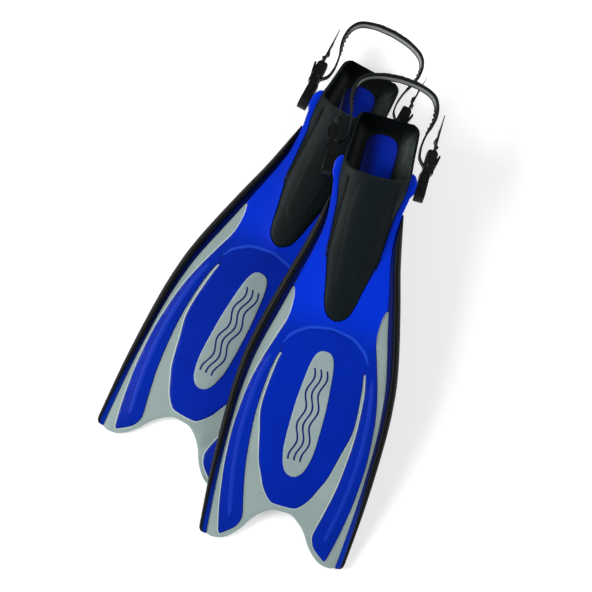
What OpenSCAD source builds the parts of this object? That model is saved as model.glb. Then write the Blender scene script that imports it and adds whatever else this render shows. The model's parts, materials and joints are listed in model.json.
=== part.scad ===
// A pair of open-heel swim fins, the upper one laid across the lower one.
// Each fin is drawn heel at the origin, blade towards -Y, sole on the floor, +Z up.
// A station is a distance s from the heel edge towards the blade tips.

/* [Fin] */
// Length of one fin from the heel edge to the blade tips
fin_len = 650; // [620:5:690]
// Width of the blade over its rails
blade_w = 234; // [222:2:250]
// Depth of the fork between the two blade tips
fork_depth = 63; // [50:1:70]
// Radius of the outer blade corners
corner_r = 12; // [8:1:16]
// Height of the blade's middle plane over the floor at the toe
deck_z = 42; // [40:0.5:46]

/* [Blade] */
// Thickness of the grey core plate
plate_t = 3; // [2.5:0.25:4]
// Thickness of the blue skins on each face of the plate
skin_t = 2; // [1.5:0.25:3]
// Station where the rails start
rail_s = 128; // [122:1:136]
// Width of a rail at its broad part
rail_w = 8.5; // [7:0.25:10]
// Half height of a rail at its tallest part
rail_h = 10.5; // [9:0.25:12]
// Width of an edge strip between rail and blade at the toe
strip_w = 9; // [8:0.25:11]
// Station where the core plate's two arms start
arm_s = 168; // [162:1:180]
// Height of the badge over the skin
badge_rise = 0.8; // [0.4:0.1:1.2]
// Radius of the pegs that join the centre panel's two faces
peg_r = 4; // [3:0.25:5]
// Gap between bonded blade pieces
seam = 0.2; // [0.1:0.05:0.3]

/* [Foot pocket] */
// Length of the foot pocket from the heel edge to the toe
pocket_len = 298; // [288:1:306]
// Width of the foot pocket at the ball of the foot
ball_w = 106; // [102:1:108]
// Width of the instep at the side lugs
instep_w = 99; // [96:1:100]
// Wall of the foot pocket
wall_t = 4; // [3:0.25:5]
// Height of the instep over the blade's plane
instep_rise = 30; // [26:1:34]
// Station of the opening's front edge
instep_s = 84; // [80:1:88]
// Height of the heel rim over the floor
heel_rim_z = 30; // [26:1:34]
// Thickness of the treaded outsole
outsole_t = 5; // [4:0.25:6]
// Thickness of the stiff sole plate
sole_plate_t = 3; // [2.5:0.25:4]
// Thickness of the rubber floor over the sole plate
floor_t = 3; // [2.5:0.25:4]
// Half width of the foot bed that shows through the floor
bed_half = 24.5; // [20:0.5:28]
// Depth of the tread grooves
tread_d = 2; // [1:0.25:3]
// Distance between tread grooves
tread_step = 14; // [10:0.5:20]

/* [Strap] */
// Station of the stud axis on which the strap swings
stud_s = 90; // [88:0.5:92]
// Height of the stud axis over the floor
stud_z = 52; // [48:0.5:54]
// Radius of the stud shank
stud_r = 4; // [3:0.25:4.5]
// Distance of the lug face outside the pocket's half width at the ball of the foot
lug_face = 7; // [5:0.5:9]
// Tilt at which the lower fin's strap and buckles rest, heel end up
lower_tilt = 3; // [1:0.5:6]
// Tilt at which the upper fin's strap and buckles rest, heel end up
upper_tilt = -6; // [-7:0.5:-2]
// Length of the strap loop behind the stud axis
loop_len = 151; // [145:1:160]
// Width of the heel strap
strap_w = 22; // [18:0.5:24]
// Thickness of the heel strap
strap_t = 3; // [2.5:0.25:3.5]
// Height of the strap's teeth
tooth_h = 1.2; // [0.8:0.1:1.4]
// Length of the free strap tail past the roller
tail_len = 76; // [60:1:90]

/* [Buckle] */
// Length of the buckle base heelwards of the stud
base_len = 26; // [25:0.5:28]
// Height of the buckle
buckle_h = 30; // [29:0.5:34]
// Thickness of the buckle base
base_t = 14; // [13:0.25:15]
// Length of the buckle frame
frame_len = 33.5; // [31:0.5:36]
// Thickness of the buckle frame
frame_t = 15; // [14:0.25:16]
// Radius of the strap roller
roller_r = 2.6; // [2.4:0.1:3]
// Radius of the roller's axle
axle_r = 1.5; // [1.2:0.1:1.7]
// Radius of the lever's pin
pin_r = 1.25; // [1:0.05:1.5]
// Thickness of the lever plate
lever_t = 2.6; // [2:0.1:3]
// Travel of a release button
button_travel = 2; // [1.5:0.25:2]

/* [Pair] */
// Angle between the two fins
fan_angle = 13.5; // [12:0.1:15]
// Upper fin's heel beside the lower fin's heel
over_x = 46; // [42:1:52]
// Upper fin's heel behind the lower fin's heel
over_y = 64; // [60:1:70]

/* [Clearances] */
// Gap between the foot pocket and the blade around it
pocket_gap = 0.4; // [0.3:0.05:0.6]
// Radial clearance of pins, studs and rollers
run = 0.07; // [0.05:0.01:0.1]
// Gap between pieces that slide past each other
slip = 0.4; // [0.3:0.05:0.6]
// Gap between the two fins where the upper one rests
rest_gap = 0.5; // [0.4:0.1:1]

/* [Hidden] */
FINS = ["lower", "upper"];
PARTS = ["blade_plate", "blade_frame", "center_panel", "badge_plate", "left_rail", "right_rail",
  "left_edge_strip", "right_edge_strip", "foot_pocket", "outsole", "sole_plate", "strap_studs",
  "heel_strap", "left_buckle_base", "right_buckle_base", "left_buckle_frame", "right_buckle_frame",
  "left_ratchet_lever", "right_ratchet_lever", "left_strap_roller", "right_strap_roller",
  "left_top_button", "left_bottom_button", "right_top_button", "right_bottom_button",
  "buckle_pins"];
$fn = 48;

blue = [0.01, 0.16, 0.68];
navy = [0.02, 0.09, 0.3];
grey = [0.57, 0.65, 0.64];
black = [0.09, 0.1, 0.11];
steel = [0.7, 0.72, 0.74];

half_w = blade_w / 2;
skin_top = plate_t / 2 + skin_t;

// Smooth value of a table [[place, value], ...] at place x
function tangent(tab, i) =
  let (a = max(i - 1, 0), b = min(i + 1, len(tab) - 1))
  (tab[b][1] - tab[a][1]) / (tab[b][0] - tab[a][0]);
function span(tab, x) = len([for (i = [1:len(tab) - 2]) if (tab[i][0] <= x) i]);
function at(tab, x) =
  let (c = min(max(x, tab[0][0]), tab[len(tab) - 1][0]), i = span(tab, c))
  let (h = tab[i + 1][0] - tab[i][0], t = (c - tab[i][0]) / h)
  (1 + 2 * t) * pow(1 - t, 2) * tab[i][1] + t * t * (3 - 2 * t) * tab[i + 1][1]
  + h * t * pow(1 - t, 2) * tangent(tab, i) - h * t * t * (1 - t) * tangent(tab, i + 1);

// Smooth curve through points, with n steps between neighbours
function knot(p, i) = p[min(max(i, 0), len(p) - 1)];
function blend(a, b, c, d, t) =
  0.5 * (2 * b + (c - a) * t + (2 * a - 5 * b + 4 * c - d) * t * t
  + (3 * b - a - 3 * c + d) * t * t * t);
function curve(p, n) = [
  for (i = [0:len(p) - 2], k = [0:n - 1])
    blend(knot(p, i - 1), p[i], p[i + 1], knot(p, i + 2), k / n),
  p[len(p) - 1]];
function reversed(p) = [for (i = [len(p) - 1:-1:0]) p[i]];
function mirrored(p) = [for (i = [len(p) - 1:-1:0]) [-p[i][0], p[i][1]]];

// Solid through rings of points, each ring ordered alike; fanned ends are cut in triangles
module loft(rings, fanned = false) {
  n = len(rings[0]);
  last = len(rings) - 1;
  faces = concat(
    fanned ? [for (j = [1:n - 2]) [0, j, j + 1]] : [[for (j = [0:n - 1]) j]],
    fanned ? [for (j = [1:n - 2]) [last * n, last * n + j + 1, last * n + j]]
      : [[for (j = [n - 1:-1:0]) last * n + j]],
    [for (i = [0:last - 1], j = [0:n - 1]) [i * n + j, (i + 1) * n + j, i * n + (j + 1) % n]],
    [for (i = [0:last - 1], j = [0:n - 1])
      [(i + 1) * n + j, (i + 1) * n + (j + 1) % n, i * n + (j + 1) % n]]);
  polyhedron([for (r = rings, p = r) p], faces, convexity = 8);
}
module flip(side) {
  if (side < 0) mirror([1, 0, 0]) children();
  else children();
}

// The blade lies in a plane that falls from the toe to the tips
rail_tall = [[0, 0.35], [0.05, 0.85], [0.2, 1], [0.5, 0.9], [0.8, 0.68], [1, 0.52]];
rail_end = fin_len - corner_r / 4;
rail_tip_h = rail_h * at(rail_tall, along(rail_end));
slope = atan((deck_z - rail_tip_h) / (fin_len - pocket_len));
tip_z = rail_tip_h * cos(slope) - (fin_len - rail_end) * tan(slope);
function deck(s) = tip_z + (fin_len - s) * tan(slope);
function flat(d, s) = [d, (fin_len - s) / cos(slope)];
function flats(p) = [for (q = p) flat(q[0], q[1])];
module on_blade() translate([0, -fin_len, tip_z]) rotate([slope, 0, 0]) children();
module skin(p, low, high) translate([0, 0, low]) linear_extrude(high - low) polygon(flats(p));

// Blade outline: share of the half width against share of the rail's length
edge_shape = [[0, 0.46], [0.138, 0.598], [0.234, 0.717], [0.33, 0.829], [0.41, 0.912],
  [0.483, 0.966], [0.6, 1], [0.8, 0.988], [1, 0.93]];
function along(s) = (s - rail_s) / (fin_len - rail_s);
function side_line(s) = half_w * at(edge_shape, along(s));
function corner(s) = s < fin_len - corner_r ? 0
  : corner_r - sqrt(pow(corner_r, 2) - pow(s - fin_len + corner_r, 2));
function edge(s) = side_line(s) - corner(s);
rail_wide = [[0, 0.15], [0.04, 0.6], [0.1, 1], [0.6, 1], [1, 0.5]];
strip_wide = [[0, 0.1], [0.04, 0.35], [0.1, 0.6], [0.33, 1], [0.5, 0.72], [0.65, 0.55], [1, 0.85]];
function rail_width(s) = rail_w * at(rail_wide, along(s));
function strip_width(s) = strip_w * at(strip_wide, along(s));
function strip_in(s) = side_line(s) - rail_width(s) - strip_width(s);
function strip_out(s) = edge(s) - rail_width(s);
function slot_in(s) = strip_in(s) + 0.45 * (strip_out(s) - strip_in(s));

// Pattern lines: share of the half width, against share of the blade ahead of the toe
function ahead(q) = pocket_len + q * (fin_len - pocket_len);
function drawn(tab) = [for (k = tab) [half_w * k[0], ahead(k[1])]];
leaf_line = curve(drawn([[0.574, -0.091], [0.547, -0.05], [0.552, 0.03], [0.633, 0.12],
  [0.735, 0.233], [0.81, 0.35], [0.851, 0.5], [0.85, 0.6], [0.826, 0.72], [0.764, 0.86],
  [0.694, 0.968]]), 4);
leg_line = curve(drawn([[0.668, 0.978], [0.532, 0.943], [0.474, 0.915], [0.453, 0.878],
  [0.504, 0.8], [0.571, 0.688], [0.61, 0.574], [0.631, 0.432], [0.606, 0.29], [0.581, 0.233],
  [0.545, 0.182], [0.523, 0.178]]), 4);
panel_line = curve(drawn([[0.514, 0.186], [0.547, 0.233], [0.581, 0.347], [0.581, 0.432],
  [0.523, 0.517], [0.443, 0.631], [0.372, 0.688], [0.292, 0.744], [0.183, 0.787], [0.1, 0.796],
  [0, 0.797]]), 4);
arc_line = curve(drawn([[0, 0.031], [0.255, 0.048], [0.383, 0.074], [0.468, 0.099],
  [0.545, 0.136]]), 4);
badge_line = curve(drawn([[0, 0.129], [0.09, 0.137], [0.128, 0.158], [0.163, 0.233], [0.192, 0.347],
  [0.198, 0.432], [0.196, 0.517], [0.181, 0.574], [0.133, 0.631], [0.07, 0.658], [0, 0.666]]), 4);
fork_line = curve([for (k = [[0, 1], [0.137, 0.976], [0.27, 0.82], [0.365, 0.64], [0.456, 0.39],
  [0.55, 0.2], [0.64, 0.075], [0.73, 0.015], [0.82, 0]])
  [side_line(fin_len) * k[0], fin_len - fork_depth * k[1]]], 4);

// Foot pocket: half widths of the sole and of the upper, against share of the pocket's length
sole_shape = [[0, 0.68], [0.012, 0.8], [0.03, 0.865], [0.055, 0.885], [0.17, 0.915], [0.3, 0.945],
  [0.5, 0.98], [0.63, 1], [0.75, 0.97], [0.85, 0.88], [0.93, 0.7], [0.975, 0.45], [1, 0.06]];
upper_shape = [[0, 0.73], [0.012, 0.855], [0.03, 0.925], [0.055, 0.945], [0.17, 0.98], [0.282, 1],
  [0.37, 0.94], [0.436, 0.86], [0.5, 0.83], [0.6, 0.79], [0.67, 0.755], [0.745, 0.66],
  [0.84, 0.535], [0.906, 0.464], [0.94, 0.4], [0.973, 0.28], [1, 0.04]];
rise_shape = [[0, 1], [0.28, 1], [0.37, 0.9], [0.5, 0.75], [0.67, 0.55], [0.84, 0.36],
  [0.94, 0.26], [1, 0.16]];
ball_half = ball_w / 2;
instep_half = instep_w / 2;
function sole_half(s) = ball_half * at(sole_shape, s / pocket_len);
function upper_half(s) = instep_half * at(upper_shape, s / pocket_len);
function upper_top(s) = deck(s) + instep_rise * at(rise_shape, s / pocket_len);
shelf = skin_top / cos(slope) + pocket_gap;
function wide(s) = s < instep_s ? max(sole_half(s), upper_half(s)) : sole_half(s);
function bell_half(s, in, low, high) =
  let (a = max(wide(s) - in, 0.5), b = max(upper_half(s) - in, 0.4))
  let (c = max(a, b), z = deck(s) - shelf - in, arch = deck(s) + shelf)
  concat([[0, low], [c * 0.8, low], [c * 0.95, low + 2.5], [c, low + 8], [c, z - 8],
    [b + (c - b) * 0.85, z - 3], [b + (c - b) * 0.4, z - 1], [b, z]],
    [for (t = [0:15:75]) [b * pow(cos(t), 0.85), arch + (high - arch) * pow(sin(t), 0.85)]],
    [[0, high]]);
function bell(s, y, in, low, high) =
  let (h = bell_half(s, in, low, high), n = len(h))
  [for (p = concat(h, [for (i = [n - 2:-1:1]) [-h[i][0], h[i][1]]])) [p[0], y, p[1]]];
function outline(in, from, to, n) =
  let (h = [for (i = [0:n]) let (s = from + (to - from) * i / n) [max(sole_half(s) - in, 0.2), -s]])
  concat(h, mirrored(h));
pocket_s = pocket_len * [0, 0.01, 0.027, 0.05, 0.1, 0.167, 0.235, 0.282, 0.335, 0.385, 0.436, 0.485,
  0.55, 0.62, 0.69, 0.745, 0.8, 0.85, 0.895, 0.933, 0.96, 0.98, 0.993, 1];
cut_shift = skin_top * tan(slope);
function cut_line(from) = [for (s = concat([from], [for (k = pocket_s) if (k > from + 1) k]))
  [upper_half(s) + pocket_gap, s + cut_shift]];
floor_z = outsole_t + sole_plate_t + floor_t;
lug_x = ball_half + lug_face;

// Strap and buckle places, from the stud axis: v outwards from the lug face, u heelwards
wrap_r = roller_r + seam + strap_t / 2;
roller_past = 11.5;
roller_u = base_len + roller_past;
roller_v = base_t / 2;
tail_v = roller_v + wrap_r;
frame_u = base_len + slip;
frame_v = 2.4;
frame_out = frame_v + frame_t;
strap_side_gap = 0.8;
cheek_t = (buckle_h - strap_w) / 2 - strap_side_gap;
inside_w = buckle_h / 2 - cheek_t;
lever_boss = 1.1;
pivot_u = roller_u + 0.5;
pivot_v = tail_v + strap_t / 2 + tooth_h + pin_r + lever_boss + 0.1;
stud_head_v = 5.2;
stud_head_r = stud_r + 2.8;
stud_head_t = base_t - stud_head_v - slip;
head_gap = 0.6;
tongue_u = 10.2;
tongue_half = 4.7;
tongue_v = [4.3, 10.1];
tongue_gap = 0.3;
button_u = [13, 22];
button_v = [4.9, 9.5];
button_w = 7.3;
button_arm = 2;
button_root = 30;
module on_strap() translate([0, -stud_s, stud_z]) rotate([$tilt, 0, 0]) children();
module at_buckle(side) on_strap() flip(side) translate([lug_x, 0, 0]) children();
module tube(r, from, to) translate([0, 0, from]) cylinder(r = r, h = to - from);
module cross_tube(r, from, to) translate([from, 0, 0]) rotate([0, 90, 0])
  cylinder(r = r, h = to - from);
module slab(v, u, w) translate([v[0], u[0], w[0]]) cube([v[1] - v[0], u[1] - u[0], w[1] - w[0]]);

// Grey core plate, forked, with two arms beside the foot pocket
plate_steps = 26;
plate_half = concat(
  fork_line,
  [for (i = [0:plate_steps]) let (s = rail_end - (rail_end - arm_s) * i / plate_steps)
    [slot_in(s) - seam, s]],
  cut_line(arm_s),
  [[0, pocket_len + pocket_gap + cut_shift]]);
panel_pegs = [for (k = [0.23, 0.4, 0.55], side = [-1, 1]) [side * half_w * 0.36, ahead(k)]];
module at_pegs(r, low, high)
  for (p = panel_pegs) translate(flat(p[0], p[1])) tube(r, low, high);
module blade_plate() color(grey) on_blade() difference() {
  skin(concat(plate_half, mirrored([for (i = [1:len(plate_half) - 2]) plate_half[i]])),
    -plate_t / 2, plate_t / 2);
  at_pegs(peg_r + seam, -plate_t, plate_t);
}

// Blue frame: shoulders with strap lugs, and a leg on each side of the centre panel
lug_s = [stud_s - 21, stud_s + 16];
lug_bore = 3;
lug_bore_d = 7;
lug_r = 12;
lug_in = max(instep_half, sole_half(lug_s[1])) + pocket_gap;
lug_root = 4;
shoulder_steps = 18;
shoulder_top = lug_s[0] + 2;
leaf_s = ahead(-0.095);
shoulder_half = concat(
  [[0, pocket_len + pocket_gap + cut_shift]],
  reversed(cut_line(shoulder_top)),
  [[lug_in + lug_root - 1, shoulder_top], [lug_in + lug_root, lug_s[1]]],
  [for (i = [0:shoulder_steps]) let (s = rail_s - 1 + (leaf_s - rail_s + 1) * i / shoulder_steps)
    [strip_in(s) - seam, s]]);
frame_half = concat(shoulder_half, leaf_line, leg_line, reversed(arc_line));
module frame_skin(low, high)
  skin(concat(frame_half, mirrored([for (i = [1:len(frame_half) - 2]) frame_half[i]])), low, high);
module lug(side) flip(side) difference() {
  intersection() {
    translate([lug_in, 0, 0]) rotate([90, 0, 90]) linear_extrude(lug_x - lug_in) union() {
      translate([-stud_s, stud_z]) circle(r = lug_r);
      translate([-stud_s - lug_r, stud_z]) square([2 * lug_r, deck(stud_s) - stud_z]);
      translate([0, deck(0)]) rotate([0, 0, slope]) translate([-lug_s[1], -skin_top])
        square([lug_s[1] - lug_s[0], 2 * skin_top]);
    }
    linear_extrude(3 * stud_z) polygon([[lug_in, -lug_s[0]], [lug_x - lug_root, -lug_s[0]],
      [lug_x, -lug_s[0] - 1.5 * lug_root], [lug_x, -lug_s[1] + 2 * lug_root],
      [lug_in + lug_root, -lug_s[1]], [lug_in, -lug_s[1]]]);
  }
  translate([0, -stud_s, stud_z]) cross_tube(lug_bore, lug_x - lug_bore_d, lug_x + 1);
}
module blade_frame() color(blue) {
  on_blade() {
    frame_skin(plate_t / 2, skin_top);
    frame_skin(-skin_top, -plate_t / 2);
    intersection() {
      frame_skin(-skin_top, skin_top);
      translate([-half_w, (fin_len - arm_s + pocket_gap) / cos(slope), -skin_top])
        cube([blade_w, fin_len, 2 * skin_top]);
    }
  }
  for (side = [-1, 1]) lug(side);
}

// Blue centre panel on both faces of the plate, joined by pegs
panel_half = concat([for (p = arc_line) [max(p[0] - seam, 0), p[1] + seam]],
  [for (p = panel_line) [max(p[0] - seam, 0), p[1]]]);
badge_full = concat(badge_line, mirrored([for (i = [1:len(badge_line) - 2]) badge_line[i]]));
module center_panel() color(blue) on_blade() {
  panel = concat(panel_half, mirrored([for (i = [1:len(panel_half) - 2]) panel_half[i]]));
  difference() {
    skin(panel, plate_t / 2, skin_top);
    skin(badge_full, 0, 2 * skin_top);
  }
  skin(panel, -skin_top, -plate_t / 2);
  at_pegs(peg_r, -skin_top, skin_top);
}

// Grey oval badge, bare, set into the centre panel
badge_half = max([for (p = badge_line) p[0]]);
module badge_plate() color(grey) on_blade()
  skin([for (p = badge_full) [p[0] * (1 - seam / badge_half), p[1]]], plate_t / 2, skin_top + badge_rise);

// Black rails and the strips inside them, swept along the blade's edges
rail_steps = 30;
rail_ring = [[0, 0.94], [0.3, 1], [0.65, 0.92], [0.9, 0.6], [1, 0], [0.9, -0.6], [0.65, -0.92],
  [0.3, -1], [0, -0.94]];
function rail_station(i) = rail_s + (rail_end - rail_s) * i / rail_steps;
module rail(side) color(black) on_blade() flip(side) loft([for (i = [0:rail_steps])
  let (s = rail_station(i), w = rail_width(s), h = rail_h * at(rail_tall, along(s)))
  [for (k = rail_ring) [edge(s) - w * (1 - k[0]), flat(0, s)[1], h * k[1]]]]);
strip_lip = 1.3;
strip_tall = 0.82;
module edge_strip(side) color(navy) on_blade() flip(side) loft([for (i = [0:rail_steps])
  let (s = rail_station(i), a = strip_in(s), b = strip_out(s) - seam, m = slot_in(s))
  let (h = strip_tall * rail_h * at(rail_tall, along(s)), t = plate_t / 2 + seam / 2)
  let (lip = min(t + strip_lip, h))
  [for (k = [[m, t], [a, t], [a, lip], [b, h], [b, -h], [a, -lip], [a, -t], [m, -t]])
    [k[0], flat(0, s)[1], k[1]]]]);

// Black rubber foot pocket, open at the heel, with its floor open over the foot bed
instep_top = deck(instep_s) + instep_rise;
rim_shape = [[-0.06, 0], [0.07, 0], [0.48, 0.26], [0.79, 0.68], [1, 1.03]];
rim = [for (k = rim_shape) [instep_s * k[0], heel_rim_z + (instep_top - heel_rim_z) * k[1]]];
bed_s = [20, 150];
sole_in = 9;
sole_heel = 14;
sole_toe = 24;
sole_s = [sole_heel, pocket_len - sole_toe];
module bed(in, low, high) translate([0, 0, low]) linear_extrude(high - low) union() {
  translate([0, -bed_s[0] - bed_half]) circle(r = bed_half - in);
  translate([-bed_half + in, -bed_s[1]])
    square([2 * (bed_half - in), bed_s[1] - bed_s[0] - bed_half]);
}
module foot_pocket() color(black) difference() {
  loft([for (s = pocket_s) bell(s, -s, 0, outsole_t, upper_top(s))], true);
  loft([for (s = pocket_s)
    let (y = -wall_t - s * (pocket_len - 2.5 * wall_t) / pocket_len)
    bell(-y < instep_s ? -y : s, y, wall_t, floor_z, upper_top(-y) - wall_t)], true);
  rotate([90, 0, 90]) translate([0, 0, -ball_w]) linear_extrude(2 * ball_w)
    polygon(concat([for (p = curve(rim, 4)) [-p[0], p[1]]],
      [[-instep_s, 2 * instep_top], [-rim[0][0], 2 * instep_top]]));
  translate([0, 0, outsole_t - 1]) linear_extrude(sole_plate_t + 1 + seam)
    polygon(outline(sole_in - seam, sole_s[0] - seam, sole_s[1] + seam, 20));
  bed(0, outsole_t, floor_z + 1);
}

// Treaded rubber outsole under the pocket
tread_s = 30;
tread_w = 4;
tread_in = 12;
tread_n = floor((pocket_len - 2 * tread_s - 5 * tread_w) / tread_step);
sole_edge = 1.5;
module outsole() color(black) difference() {
  linear_extrude(outsole_t) polygon(outline(sole_edge, sole_edge, pocket_len - 4, 34));
  for (i = [0:tread_n]) let (s = tread_s + i * tread_step, w = sole_half(s) - tread_in)
    translate([-w, -s, -1]) cube([2 * w, tread_w, 1 + tread_d]);
}

// Stiff blue sole plate whose raised bed shows inside the pocket
module sole_plate() color(blue) {
  translate([0, 0, outsole_t]) linear_extrude(sole_plate_t)
    polygon(outline(sole_in, sole_s[0], sole_s[1], 20));
  bed(seam, outsole_t + sole_plate_t / 2, floor_z - seam);
}

// Studs pressed into the lugs
module strap_studs() color(black) for (side = [-1, 1])
  translate([0, -stud_s, stud_z]) flip(side) translate([lug_x, 0, 0]) {
    cross_tube(lug_bore, -lug_bore_d + seam, 0);
    cross_tube(stud_r, 0, stud_head_v);
    cross_tube(stud_head_r, stud_head_v, stud_head_v + stud_head_t);
  }

// Buckle base that swings on the stud and takes the frame's tongue
module buckle_base(side) color(black) at_buckle(side) difference() {
  intersection() {
    slab([slip, base_t + slip], [-buckle_h / 2, base_len], [-buckle_h / 2, buckle_h / 2]);
    rotate([90, 0, 90]) linear_extrude(2 * base_t) union() {
      circle(r = buckle_h / 2);
      translate([0, -buckle_h / 2]) square([base_len, buckle_h]);
    }
  }
  cross_tube(stud_r + run, 0, stud_head_v);
  cross_tube(stud_head_r + head_gap, stud_head_v - seam, 2 * base_t);
  slab([tongue_v[0] - tongue_gap, tongue_v[1] + tongue_gap], [tongue_u - 2 * slip, base_len + 1],
    [-button_w - button_arm - 1, button_w + button_arm + 1]);
  slab([button_v[0] - slip, button_v[1] + slip], [button_u[0] - slip, button_u[1] + slip],
    [-buckle_h, buckle_h]);
}

// Buckle frame: bridge with tongue, two cheeks and an inner bar
bridge_u = frame_u + 4.6;
frame_end = frame_u + frame_len;
frame_cut = 2;
bar_t = 2.4;
bar_u = frame_end - 8;
module buckle_frame(side) color(black) at_buckle(side) difference() {
  union() {
    slab([frame_v, frame_out], [frame_u, bridge_u], [-buckle_h / 2, buckle_h / 2]);
    slab(tongue_v, [tongue_u, frame_u + 1], [-tongue_half, tongue_half]);
    for (w = [-buckle_h / 2, inside_w]) translate([0, 0, w]) linear_extrude(cheek_t)
      polygon([[frame_v, frame_u], [frame_out, frame_u], [frame_out, frame_end - 2 * frame_cut],
        [frame_out - 1.5 * frame_cut, frame_end], [frame_v + frame_cut, frame_end],
        [frame_v, frame_end - frame_cut]]);
    slab([frame_v, frame_v + bar_t], [bar_u, frame_end - frame_cut], [-inside_w - 1, inside_w + 1]);
  }
  translate([roller_v, roller_u, 0]) tube(axle_r, -buckle_h, buckle_h);
  translate([pivot_v, pivot_u, 0]) tube(pin_r, -buckle_h, buckle_h);
  for (k = [0, 1]) mirror([0, 0, k])
    slab([button_v[0] - slip, button_v[1] + slip], [frame_u - 1, button_root + slip],
      [button_w - button_travel - slip, button_w + button_arm + slip]);
}

// Lever that locks the strap, pressed at its flared end to let the strap run
lever_reach = 17;
lever_flare = 5.6;
pawl_u = 4;
module ratchet_lever(side) color(black) at_buckle(side) difference() {
  translate([0, 0, -inside_w + slip]) linear_extrude(2 * (inside_w - slip)) union() {
    translate([pivot_v, pivot_u]) circle(r = pin_r + lever_boss);
    polygon([[pivot_v - 1, pivot_u - pawl_u], [pivot_v + 1.2, pivot_u - pawl_u - 1],
      [pivot_v + pin_r + lever_boss, pivot_u], [pivot_v + lever_flare, pivot_u + lever_reach],
      [pivot_v + lever_flare - lever_t, pivot_u + lever_reach],
      [pivot_v - pin_r / 2, pivot_u + pin_r + lever_boss]]);
  }
  translate([pivot_v, pivot_u, 0]) tube(pin_r + run, -buckle_h, buckle_h);
}

// Roller that the strap runs round
module strap_roller(side) color(black) at_buckle(side) translate([roller_v, roller_u, 0]) difference() {
  tube(roller_r, -inside_w + slip, inside_w - slip);
  tube(axle_r + run, -buckle_h, buckle_h);
}

// Roller axles and lever pins, held in the cheeks
module buckle_pins() color(steel) for (side = [-1, 1]) at_buckle(side) {
  translate([roller_v, roller_u, 0]) tube(axle_r, -buckle_h / 2 + seam, buckle_h / 2 - seam);
  translate([pivot_v, pivot_u, 0]) tube(pin_r, -buckle_h / 2 + seam, buckle_h / 2 - seam);
}

// Release buttons that slide in towards each other
module release_button(side, up) color(black) at_buckle(side) mirror([0, 0, up > 0 ? 0 : 1]) {
  slab(button_v, [button_u[0], button_root], [button_w, button_w + button_arm]);
  slab(button_v, button_u, [button_w, buckle_h / 2 + button_travel]);
}

// Heel strap: tail, turn round the roller, toothed loop behind the heel
strap_off = 2.9;
side_x = max(instep_half, sole_half(stud_s - roller_u)) + strap_off;
roller_x = lug_x + roller_v;
tail_x = lug_x + tail_v;
loop_run = loop_len - roller_u;
loop_bulge = 8.8;
loop_side = [[0.25, 0.07], [0.02, 0.16], [0, 0.25], [0.24, 0.383], [0.73, 0.507], [1, 0.639], [0.73, 0.78]];
loop_back = [[0.943, 0.9], [0.542, 0.974], [0, 1]];
turn = [for (a = [0:-15:-135]) [roller_x + wrap_r * cos(a), roller_u + wrap_r * sin(a)]];
leave = turn[len(turn) - 1] + wrap_r * [-cos(45), sin(45)];
tail_n = 38;
tail_lean = 1.5;
tail = [for (i = [tail_n:-1:1]) let (q = i / tail_n)
  [tail_x + tail_lean * q * q, roller_u + tail_len * q]];
loop = curve(concat([leave],
  [for (k = loop_side) [side_x + loop_bulge * k[0], roller_u + loop_run * k[1]]],
  [for (k = loop_back) [side_x * k[0], roller_u + loop_run * k[1]]]), 8);
strap_half = concat(tail, turn, loop);
strap_path = concat(strap_half, mirrored([for (i = [0:len(strap_half) - 2]) strap_half[i]]));
strap_n = len(strap_path) - 1;
function heading(p, i) = let (d = p[min(i + 1, len(p) - 1)] - p[max(i - 1, 0)]) d / norm(d);
function is_tail(i) = min(i, strap_n - i) < len(tail);
function toothed(i) = let (k = min(i, strap_n - i))
  is_tail(k) ? k > 4 && k < len(tail) - 12 : k > len(tail) + len(turn) + 28 && k < len(strap_half) - 14;
function tooth(i) = toothed(i) && i % 3 == 0 ? tooth_h : 0;
function thick(i) = let (k = min(i, strap_n - i)) strap_t * min(1, 0.5 + k / 12);
function strap_side(out) = [for (i = [0:strap_n])
  let (h = heading(strap_path, i), bump = is_tail(i) == out ? tooth(i) : 0)
  let (t = thick(i) / 2 + bump)
  strap_path[i] + (out ? 1 : -1) * t * [-h[1], h[0]]];
module heel_strap() color(black) on_strap() translate([0, 0, -strap_w / 2]) linear_extrude(strap_w)
  polygon(concat(strap_side(true), reversed(strap_side(false))));

// Places of the two fins: the lower on the floor, the upper across its instep
rest_back = 9;
rest_s = instep_s - over_y - rest_back;
over_tilt = atan((instep_top + rest_gap) / (rail_end - rest_s));
module place(fin) {
  if (fin == "lower") rotate([0, 0, -fan_angle / 2]) translate([0, pocket_len / 2, 0]) children();
  else rotate([0, 0, -fan_angle / 2]) translate([0, pocket_len / 2, 0]) rotate([0, 0, fan_angle / 2])
    translate([over_x, -over_y, 0]) rotate([0, 0, fan_angle / 2])
    translate([0, -rail_end, 0]) rotate([over_tilt, 0, 0]) translate([0, rail_end, 0]) children();
}

for (fin = FINS) let ($tilt = fin == "lower" ? lower_tilt : upper_tilt) place(fin) {
  blade_plate();
  blade_frame();
  center_panel();
  badge_plate();
  rail(-1);
  rail(1);
  edge_strip(-1);
  edge_strip(1);
  foot_pocket();
  outsole();
  sole_plate();
  strap_studs();
  heel_strap();
  buckle_base(-1);
  buckle_base(1);
  buckle_frame(-1);
  buckle_frame(1);
  ratchet_lever(-1);
  ratchet_lever(1);
  strap_roller(-1);
  strap_roller(1);
  release_button(-1, 1);
  release_button(-1, -1);
  release_button(1, 1);
  release_button(1, -1);
  buckle_pins();
}
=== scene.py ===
import json
from functools import lru_cache
from math import acos, atan, cos, exp, hypot, pi, radians, sin, sqrt, tan
import bmesh
import bpy
from mathutils import Matrix, Vector


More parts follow.
